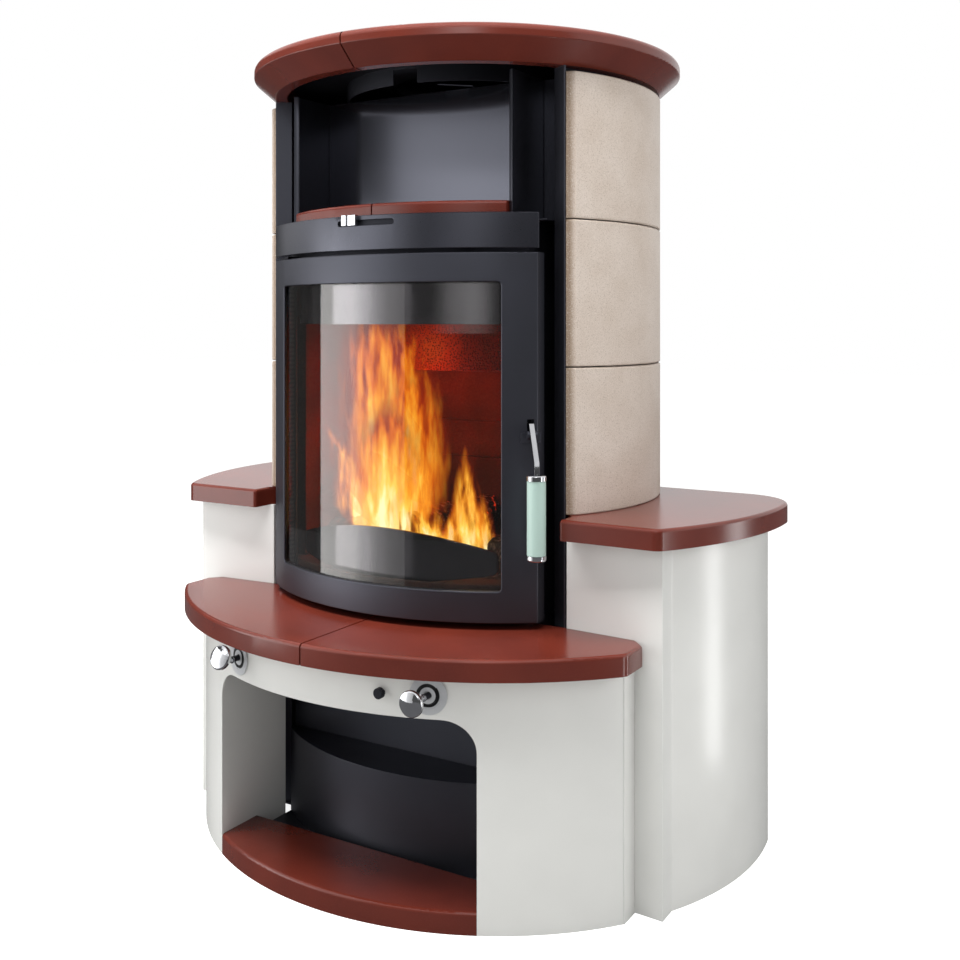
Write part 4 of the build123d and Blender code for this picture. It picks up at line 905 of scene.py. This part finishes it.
def soften(bm: Shape, width_mm: float, over: float = 50.0, segments: int = 2) -> None:
    """Rounds the sharp edges of a mesh.

    Args:
        bm: the mesh.
        width_mm: width of the rounding.
        over: least angle in degrees between the faces of an edge that is rounded.
        segments: facets across the rounding.
    """
    least = radians(over)
    edges = [e for e in bm.edges if len(e.link_faces) == 2 and e.calc_face_angle(0) > least]
    bmesh.ops.bevel(bm, geom=edges, offset=width_mm * MM, offset_type="OFFSET", segments=segments,
                    profile=0.5, affect="EDGES", material=-1, clamp_overlap=True)


def skin(finish: Finish, edge_mm: float, *nodes: str) -> list[Thing]:
    """Makes smooth finished pieces that stand for CAD nodes.

    Args:
        finish: the finish.
        edge_mm: rounding of the sharp edges in millimetres, or 0 for none.
        nodes: names of the nodes.

    Returns:
        The pieces, in the order of the nodes.
    """
    pieces = []
    for node in nodes:
        bm = node_copy(node)
        if edge_mm:
            soften(bm, edge_mm)
        pieces.append(put(bm, f"{node}_finished", finish, body_of(node), (node,)))
    return pieces


@dataclass
class Slabs:
    """The glazed slabs: top plate, niche floor, bench, wings and the floor of the log store."""

    edge_mm: float = 2.4

    def dress(self) -> None:
        """Glazes each slab, its arrises rubbed round as a dipped glaze leaves them."""
        skin(GLAZE, self.edge_mm, "top_plate_left", "top_plate_right", "niche_slabs", "bench_slab_left",
             "bench_slab_right", "store_plate", "wing_slab_left", "wing_slab_right")


@dataclass
class Jacket:
    """Tiles on their carriers, the columns beside them and the casing behind."""

    edge_mm: float = 0.8

    def dress(self) -> None:
        """Dresses the tiles and the sheet-metal pieces."""
        skin(TILE, 0, "tiles_left", "tiles_right")
        skin(BLACK, 0, "columns")
        skin(ZINC, self.edge_mm, "rear_casing")
        dress(ZINC, "casing_screws")
        # painted shade: the carriers get the matt black so that the gap above the tiles shows dark
        dress(INNER_BLACK, "tile_carriers")


@dataclass
class Base:
    """White shells, log store, tray and feet."""

    edge_mm: float = 1.0
    store_edge_mm: float = 0.6

    def dress(self) -> None:
        """Dresses the shells and what they cover."""
        skin(WHITE, self.edge_mm, "bench_shell", "wing_shells")
        skin(BLACK, self.store_edge_mm, "store_lining", "store_drum")
        dress(BLACK, "pedestal", "floor_tray")
        dress(ZINC, "levelling_feet")


@dataclass
class Niche:
    """Warming niche under the top plate."""

    edge_mm: float = 0.6

    def dress(self) -> None:
        """Dresses the niche, the ring above it and the lid."""
        skin(NICHE_BLACK, self.edge_mm, "niche_back")
        skin(SMOOTH_BLACK, self.edge_mm, "niche_cheeks", "recess_panels")
        skin(INNER_BLACK, self.edge_mm, "top_ring", "top_lid")


@dataclass
class Firebox:
    """Steel body with its lining, the grate and the guard."""

    brick_edge_mm: float = 1.6
    guard_edge_mm: float = 0.8
    grate_edge_mm: float = 1.0

    def dress(self) -> None:
        """Dresses the firebox inside and out."""
        skin(INNER_BLACK, 0, "flue_spigot")
        dress(INNER_BLACK, "firebox_body", "smoke_collector", "front_brackets")
        skin(GUARD, self.guard_edge_mm, "log_guard")
        skin(CLAY, self.brick_edge_mm, "side_linings", "rear_lining", "hearth_bricks", "baffle_plate")
        skin(FOAM, self.brick_edge_mm, "filter_block")
        skin(IRON, self.grate_edge_mm, "grate")
        dress(ZINC, "ash_pan")
        skin(BAND, 0, "airwash_deflector")
        dress(BRUSHED, "hinge_pins")
        Blaze().build()


@dataclass(frozen=True)
class Tongue:
    """One tongue of flame. Lengths in millimetres.

    Attributes:
        x: middle of its root.
        y: depth of its root.
        root: height of its root above the floor.
        height: length of the tongue.
        width: width at its widest.
        belly: share of the height at which it is widest.
        lean: how far its tip leans to the right.
        sway: swing to the right halfway up.
        turn: direction that it faces in degrees, 0 to the front.
        blunt: 0 for a pointed tip, 1 for a tip as wide as the belly.
    """

    x: float
    y: float
    root: float
    height: float
    width: float
    belly: float = 0.3
    lean: float = 0.0
    sway: float = 0.0
    turn: float = 25.0
    blunt: float = 0.0
    finish: Fire = FLAME
    shoulder: float = 0.7
    foot: float = 0.12
    curl: float = 1.6
    ripple: float = 6.0
    waves: tuple = (7.0, 3.0)
    bow: float = 0.35
    grid: tuple = (10, 28)

    def sheet(self) -> Shape:
        """Makes the tongue as one curved sheet.

        Returns:
            The sheet, in place, with its own UV map: u across and v upwards.
        """
        bm = bmesh.new()
        bm.loops.layers.uv.new("across_and_up")
        columns, rows = self.grid
        bmesh.ops.create_grid(bm, x_segments=columns, y_segments=rows, size=0.5, calc_uvs=True)
        for vert in bm.verts:
            across, up = vert.co.x, vert.co.y + 0.5
            swell = up / self.belly if up < self.belly else 1 - (up - self.belly) / (1 - self.belly)
            fullness = self.blunt + (1 - self.blunt) * max(swell, 0.0) ** self.shoulder
            wide = self.width * (fullness + self.foot * (1 - up))
            drift = self.lean * up**self.curl + self.sway * sin(pi * up)
            ripple = self.ripple * sin(self.waves[0] * up + self.waves[1] * across + self.x)
            bow = self.bow * self.width * (0.25 - across * across)
            vert.co = Vector((across * wide + drift, ripple - bow, self.height * up)) * MM
        turned = Matrix.Rotation(radians(self.turn), 3, "Z")
        bmesh.ops.rotate(bm, verts=bm.verts[:], cent=(0, 0, 0), matrix=turned)
        bmesh.ops.translate(bm, verts=bm.verts[:], vec=Vector((self.x, self.y, self.root)) * MM)
        return bm


@dataclass
class Blaze:
    """The burning fire: flames, split logs and a bed of embers, in use as in the photograph."""

    tongues: tuple = (
        Tongue(-88, -100, 525, 440, 225, 0.5, lean=-44, blunt=0.6, finish=VEIL),
        Tongue(-66, -128, 525, 330, 165, 0.45, lean=14, sway=8, blunt=0.4, finish=VEIL),
        Tongue(-84, -110, 530, 420, 150, 0.5, lean=-30, sway=6, blunt=0.4),
        Tongue(-110, -134, 530, 400, 110, 0.45, lean=-42, sway=10, blunt=0.35),
        Tongue(-88, -146, 530, 270, 215, 0.35, lean=6, blunt=0.25, finish=VEIL),
        Tongue(-80, -152, 530, 235, 165, 0.28, lean=6, blunt=0.15),
        Tongue(-48, -155, 530, 195, 95, 0.32, lean=62, sway=12),
        Tongue(-122, -156, 530, 225, 125, 0.3, lean=-90, sway=10),
        Tongue(78, -128, 515, 205, 74, 0.3, lean=-4, turn=35),
        Tongue(92, -140, 512, 130, 80, 0.35, lean=-8, turn=35, blunt=0.2),
        Tongue(50, -138, 515, 105, 36, 0.3, lean=8, turn=35),
        Tongue(6, -150, 508, 115, 130, 0.3, lean=-8, turn=12, blunt=0.1),
        Tongue(112, -118, 515, 120, 44, 0.3, lean=-6, turn=35),
    )
    logs: tuple = (
        (-90, -110, 527, 300, 32, 8),
        (70, -70, 524, 230, 28, -24),
        (-30, -20, 560, 260, 30, 82),
    )
    log_sides: int = 12
    log_cuts: int = 14
    log_edge_mm: float = 1.5
    bark: float = 0.16
    bark_scale: float = 30.0
    split: float = 0.35
    bed: tuple = (380.0, 250.0, 90.0)
    bed_grid: tuple = (60, 40)
    bed_low: float = 0.5005
    heap: float = 0.022
    lump_scale: float = 42.0
    hollow: float = 0.35
    glows: tuple = (("glow_low", (-0.06, -0.14, 0.64), 6.5), ("glow_high", (-0.06, -0.09, 0.80), 5.0))
    glow_tone: str = "#ff3a0a"
    glow_radius: float = 0.06

    def log(self, x: float, y: float, z: float, length: float, radius: float, turn: float) -> Shape:
        """Makes one log with a split side and a rough bark.

        Args:
            x: middle to the right, in millimetres as all its lengths.
            y: middle to the back.
            z: middle above the floor.
            length: its length.
            radius: its radius.
            turn: direction in degrees, 0 along the front.

        Returns:
            The log, in place.
        """
        bm = bmesh.new()
        bmesh.ops.create_cone(bm, cap_ends=True, segments=self.log_sides, radius1=radius * MM,
                              radius2=radius * MM, depth=length * MM)
        long_edges = [e for e in bm.edges if abs((e.verts[0].co - e.verts[1].co).z) > 0.5 * length * MM]
        bmesh.ops.subdivide_edges(bm, edges=long_edges, cuts=self.log_cuts, use_grid_fill=False)
        for vert in bm.verts:
            rough = 1 + self.bark * noise.noise(vert.co * self.bark_scale + Vector((x, y, z)))
            vert.co.x *= rough
            vert.co.y = min(vert.co.y * rough, self.split * radius * MM)
        turned = Matrix.Rotation(radians(turn), 3, "Z") @ Matrix.Rotation(radians(90), 3, "Y")
        bmesh.ops.rotate(bm, verts=bm.verts[:], cent=(0, 0, 0), matrix=turned)
        bmesh.ops.translate(bm, verts=bm.verts[:], vec=Vector((x, y, z)) * MM)
        return bm

    def embers(self) -> Shape:
        """Makes the bed of embers as a low uneven heap.

        Returns:
            The heap, in place.
        """
        bm = bmesh.new()
        columns, rows = self.bed_grid
        bmesh.ops.create_grid(bm, x_segments=columns, y_segments=rows, size=0.5)
        wide, deep, middle = self.bed
        slice_height = 0.3
        for vert in bm.verts:
            x, y = vert.co.x * wide * MM, vert.co.y * deep * MM - middle * MM
            fall = max(0.0, 1 - (2 * vert.co.x) ** 4) * max(0.0, 1 - (2 * vert.co.y) ** 4)
            lump = 0.5 + 0.5 * noise.noise(Vector((x, y, slice_height)) * self.lump_scale)
            vert.co = Vector((x, y, self.bed_low + self.heap * fall * (self.hollow + lump)))
        return bm

    def build(self) -> None:
        """Builds the fire on the hearth."""
        for number, tongue in enumerate(self.tongues, 1):
            put(tongue.sheet(), f"flame_{number}", tongue.finish, "stove")
        for number, log in enumerate(self.logs, 1):
            bm = self.log(*log)
            soften(bm, self.log_edge_mm)
            put(bm, f"burning_log_{number}", LOGS, "stove")
        put(self.embers(), "ember_bed", LOGS, "stove")
        for name, place, power in self.glows:
            lamp = bpy.data.lights.new(name, "POINT")
            lamp.color = linear(self.glow_tone)[:3]
            lamp.energy = power
            lamp.shadow_soft_size = self.glow_radius
            holder = stand(name, lamp)
            holder.location = place
            for ray in ("glossy", "camera", "transmission"):
                setattr(holder, f"visible_{ray}", False)


@dataclass
class Door:
    """Curved door with its pane, seals, inner frame and handle."""

    bracket_edge_mm: float = 0.6
    lever_edge_mm: float = 1.0
    pin_edge_mm: float = 0.4
    grip_edge_mm: float = 1.2

    def dress(self) -> None:
        """Dresses the door and the handle."""
        skin(BLACK, 0, "door_frame", "glass_frame")
        skin(PANE, 0, "door_glass")
        dress(ROPE, "door_seals")
        dress(ZINC, "frame_screws")
        skin(BLACK, self.bracket_edge_mm, "handle_bracket")
        skin(STEEL, self.lever_edge_mm, "handle_lever")
        skin(STEEL, self.pin_edge_mm, "handle_pin")
        skin(FROST, self.grip_edge_mm, "handle_grip")
        skin(CHROME, 0, "grip_caps")


@dataclass
class Controls:
    """Air slider in the cover, rotary knobs on their rosettes and the pull knob.

    Attributes:
        front_axis_mm: depth of the axis of the curved front.
        cover_face_mm: radius under which the slider lies behind the cover, in the slot, where its
        faces get the matt black as painted shade.
    """

    front_axis_mm: float = 92.0
    cover_face_mm: float = 431.9
    edge_mm: float = 0.5
    disc_edge_mm: float = 0.4

    def dress(self) -> None:
        """Dresses the controls."""
        skin(SMOOTH_BLACK, 0, "cover_panel")
        slider, = skin(CHROME, self.edge_mm, "air_slider")
        # painted shade: the faces of the chrome slider that lie inside the slot, behind the cover, get the
        # matt black
        slider.data.materials.append(INNER_BLACK.material())
        axis = Vector((0, self.front_axis_mm * MM))
        for face in slider.data.polygons:
            behind = (face.center.xy - axis).length < self.cover_face_mm * MM
            face.material_index = int(behind)
        skin(CHROME, self.edge_mm, "control_knob_left", "control_knob_right")
        skin(DIAL, self.edge_mm, "rosettes")
        skin(INNER_BLACK, self.disc_edge_mm, "air_control_left", "air_control_right", "pull_knob")


# ---- studio
@dataclass
class Softbox:
    """An upright studio lamp whose light falls off from its left edge to its right one.

    Attributes:
        left: direction of its left edge in degrees, 0 to the front, 90 to the right.
        right: direction of its right edge.
        distance: metres from the axis of the stove to both edges.
        low: height of its lower edge in metres.
        high: height of its upper edge.
        radiance: brightness of its face, where 1 is white.
        fade: shares of the radiance from left to right.
        mirrored: whether glossy surfaces show it.
        lighting: whether it lights matt surfaces.
    """

    name: str
    left: float
    right: float
    distance: float
    low: float
    high: float
    radiance: float
    fade: tuple = ((0.0, 1.0), (1.0, 1.0))
    mirrored: bool = True
    lighting: bool = True

    def corner(self, azimuth: float) -> Vector:
        """Returns the place of an edge on the floor."""
        turn = radians(azimuth)
        return Vector((self.distance * sin(turn), -self.distance * cos(turn), 0))

    def build(self) -> None:
        """Hangs the lamp, its face towards the axis of the stove."""
        start, end = self.corner(self.left), self.corner(self.right)
        lamp = bpy.data.lights.new(self.name, "AREA")
        lamp.shape = "RECTANGLE"
        lamp.size = (end - start).length
        lamp.size_y = self.high - self.low
        lamp.energy = self.radiance * pi * lamp.size * lamp.size_y
        tree = emptied(lamp)
        across = add_node(tree, "NewGeometry").outputs["Parametric"]
        split = add_node(tree, "SeparateXYZ", {0: across})
        ramp = add_node(tree, "ValToRGB", {0: split.outputs[0]})
        ramp.color_ramp.interpolation = "EASE"
        set_ramp(ramp, [(place, (share, share, share, 1.0)) for place, share in self.fade])
        face = add_node(tree, "Emission", {"Strength": ramp.outputs[0]})
        add_node(tree, "OutputLight", {"Surface": face.outputs[0]})
        holder = stand(self.name, lamp)
        holder.location = (start + end) / 2 + Vector((0, 0, (self.low + self.high) / 2))
        facing = radians((self.left + self.right) / 2)
        holder.rotation_euler = Euler((radians(90), 0, facing))
        holder.visible_glossy = self.mirrored
        holder.visible_transmission = self.mirrored
        holder.visible_diffuse = self.lighting
        holder.visible_camera = False


@dataclass
class Curtain:
    """A dark grey curtain round the front, which only mirrors see."""

    left: float = -126.0
    right: float = 83.0
    distance: float = 3.4
    high: float = 2.7
    folds: int = 24
    radiance: float = 0.09

    def build(self) -> None:
        """Hangs the curtain by turning one upright edge about the axis of the stove."""
        bm = bmesh.new()
        start = radians(self.left)
        foot = Vector((self.distance * sin(start), -self.distance * cos(start), 0))
        pole = bm.edges.new([bm.verts.new(foot), bm.verts.new(foot + Vector((0, 0, self.high)))])
        bmesh.ops.spin(bm, geom=[pole], cent=(0, 0, 0), axis=(0, 0, 1), dvec=(0, 0, 0),
                       angle=radians(self.right - self.left), steps=self.folds, use_merge=False)
        mesh = mesh_of(bm, "curtain")
        curtain = stand("curtain", mesh)
        grey = bpy.data.materials.new("grey_curtain")
        tree = emptied(grey)
        face = add_node(tree, "Emission", {"Strength": self.radiance})
        add_node(tree, "OutputMaterial", {"Surface": face.outputs[0]})
        mesh.materials.append(grey)
        for ray in ("camera", "diffuse", "shadow"):
            setattr(curtain, f"visible_{ray}", False)


@dataclass
class Studio:
    """Camera, lamps, floor and background."""

    eye: Vector = field(default_factory=lambda: Vector((1.1524, -1.9404, 0.9371)))
    turn: float = 32.004
    lens: float = 43.52
    shift: tuple = (0.0417, -0.1635)
    ambient: float = 0.32
    top_radiance: float = 20.0
    top_size: tuple = (2.4, 1.0)
    top_place: tuple = (-0.2, -1.0, 3.0)
    floor_size: float = 40.0
    floor_tone: str = "#b6b6b4"
    floor_glow: float = 0.9
    floor_mirrored: str = "#6e6e70"

    def camera(self) -> None:
        """Stands the camera where the photograph was taken from."""
        data = bpy.data.cameras.new("camera")
        data.sensor_width = 36.0
        data.lens = self.lens
        data.shift_x, data.shift_y = self.shift
        camera = stand("camera", data)
        camera.location = self.eye
        camera.rotation_euler = Euler((radians(90), 0, radians(self.turn)))
        bpy.context.scene.camera = camera

    def background(self) -> None:
        """Makes the world white to the eye and in mirrors, and a plain soft light elsewhere."""
        world = bpy.data.worlds.new("studio")
        bpy.context.scene.world = world
        tree = emptied(world)
        ray = add_node(tree, "LightPath")
        seen = ray.outputs["Is Camera Ray"]
        for kind in ("Is Glossy Ray", "Is Transmission Ray"):
            seen = add_node(tree, "Math", {0: seen, 1: ray.outputs[kind]}, operation="MAXIMUM").outputs[0]
        white = add_node(tree, "Background", {"Color": (1, 1, 1, 1), "Strength": 1.0})
        soft = add_node(tree, "Background", {"Color": (1, 1, 1, 1), "Strength": self.ambient})
        mixed = add_node(tree, "MixShader", {0: seen, 1: soft.outputs[0], 2: white.outputs[0]})
        add_node(tree, "OutputWorld", {"Surface": mixed.outputs[0]})

    def floor(self) -> None:
        """Lays a plain pale floor."""
        bm = bmesh.new()
        bmesh.ops.create_grid(bm, x_segments=1, y_segments=1, size=self.floor_size / 2)
        mesh = mesh_of(bm, "floor")
        floor = stand("floor", mesh)
        pale = bpy.data.materials.new("pale_floor")
        tree = emptied(pale)
        ray = add_node(tree, "LightPath")
        matt = add_node(tree, "BsdfDiffuse", {"Color": linear(self.floor_tone)})
        glow = add_node(tree, "Emission", {"Color": (1, 1, 1, 1), "Strength": self.floor_glow})
        bright = add_node(tree, "AddShader", {0: matt.outputs[0], 1: glow.outputs[0]})
        grey = add_node(tree, "Emission", {"Color": linear(self.floor_mirrored)})
        pick = matt
        for kind, seen in (("Is Glossy Ray", grey), ("Is Camera Ray", bright)):
            shares = {0: ray.outputs[kind], 1: pick.outputs[0], 2: seen.outputs[0]}
            pick = add_node(tree, "MixShader", shares)
        add_node(tree, "OutputMaterial", {"Surface": pick.outputs[0]})
        mesh.materials.append(pale)

    def lamps(self) -> None:
        """Hangs the softboxes."""
        for lamp in (
            Softbox("sheen_left", -61, -10, 2.3, 0.03, 1.32, 3.4,
                    ((0.0, 0.95), (0.25, 1.0), (0.42, 0.9), (0.58, 0.5), (0.74, 0.22), (1.0, 0.14)),
                    lighting=False),
            Softbox("sheen_niche", -34, -16, 2.3, 1.34, 1.72, 1.8, ((0.0, 1.0), (1.0, 0.7)), lighting=False),
            Softbox("sheen_front", 2, 36, 2.6, 0.9, 2.35, 0.7,
                    ((0.0, 0.05), (0.4, 0.8), (0.6, 1.0), (1.0, 0.05)), lighting=False),
            Softbox("sheen_cover", -100, -2, 2.3, 1.12, 1.42, 2.0,
                    ((0.0, 0.15), (0.2, 0.4), (0.42, 0.6), (0.5, 0.0), (0.62, 0.05), (0.72, 0.5),
                     (0.84, 0.45), (1.0, 0.1)), lighting=False),
            Softbox("sheen_rim", 18, 42, 2.8, 1.8, 2.6, 3.2,
                    ((0.0, 0.1), (0.5, 1.0), (1.0, 0.1)), lighting=False),
            Softbox("sheen_bench", 75, 83, 1.4, 0.0, 0.62, 5.0, lighting=False),
            Softbox("sheen_wing", 101.5, 108.5, 1.04, 0.0, 0.62, 5.0, lighting=False),
            Softbox("fill_left", -86, -16, 3.0, 0.2, 2.2, 1.95, mirrored=False),
            Softbox("fill_right", 10, 50, 3.2, 0.2, 2.2, 0.55, mirrored=False),
            Softbox("fill_side", 78, 120, 3.2, 0.2, 2.2, 2.7, mirrored=False),
        ):
            lamp.build()
        Curtain().build()
        sky = bpy.data.lights.new("softbox_top", "AREA")
        sky.shape = "RECTANGLE"
        sky.size, sky.size_y = self.top_size
        sky.energy = self.top_radiance * pi * sky.size * sky.size_y
        holder = stand("softbox_top", sky)
        holder.location = self.top_place
        holder.visible_glossy = False

    def build(self) -> None:
        """Sets up the whole studio."""
        bpy.context.scene.view_settings.view_transform = "Standard"
        self.camera()
        self.background()
        self.floor()
        self.lamps()


def main() -> None:
    """Builds and dresses the stove, one sub-assembly after the other."""
    logging.basicConfig(level=logging.INFO, format="%(name)s: %(message)s")
    Studio().build()
    for group in (Slabs(), Jacket(), Base(), Niche(), Firebox(), Door(), Controls()):
        group.dress()


if __name__ == "__main__":
    main()
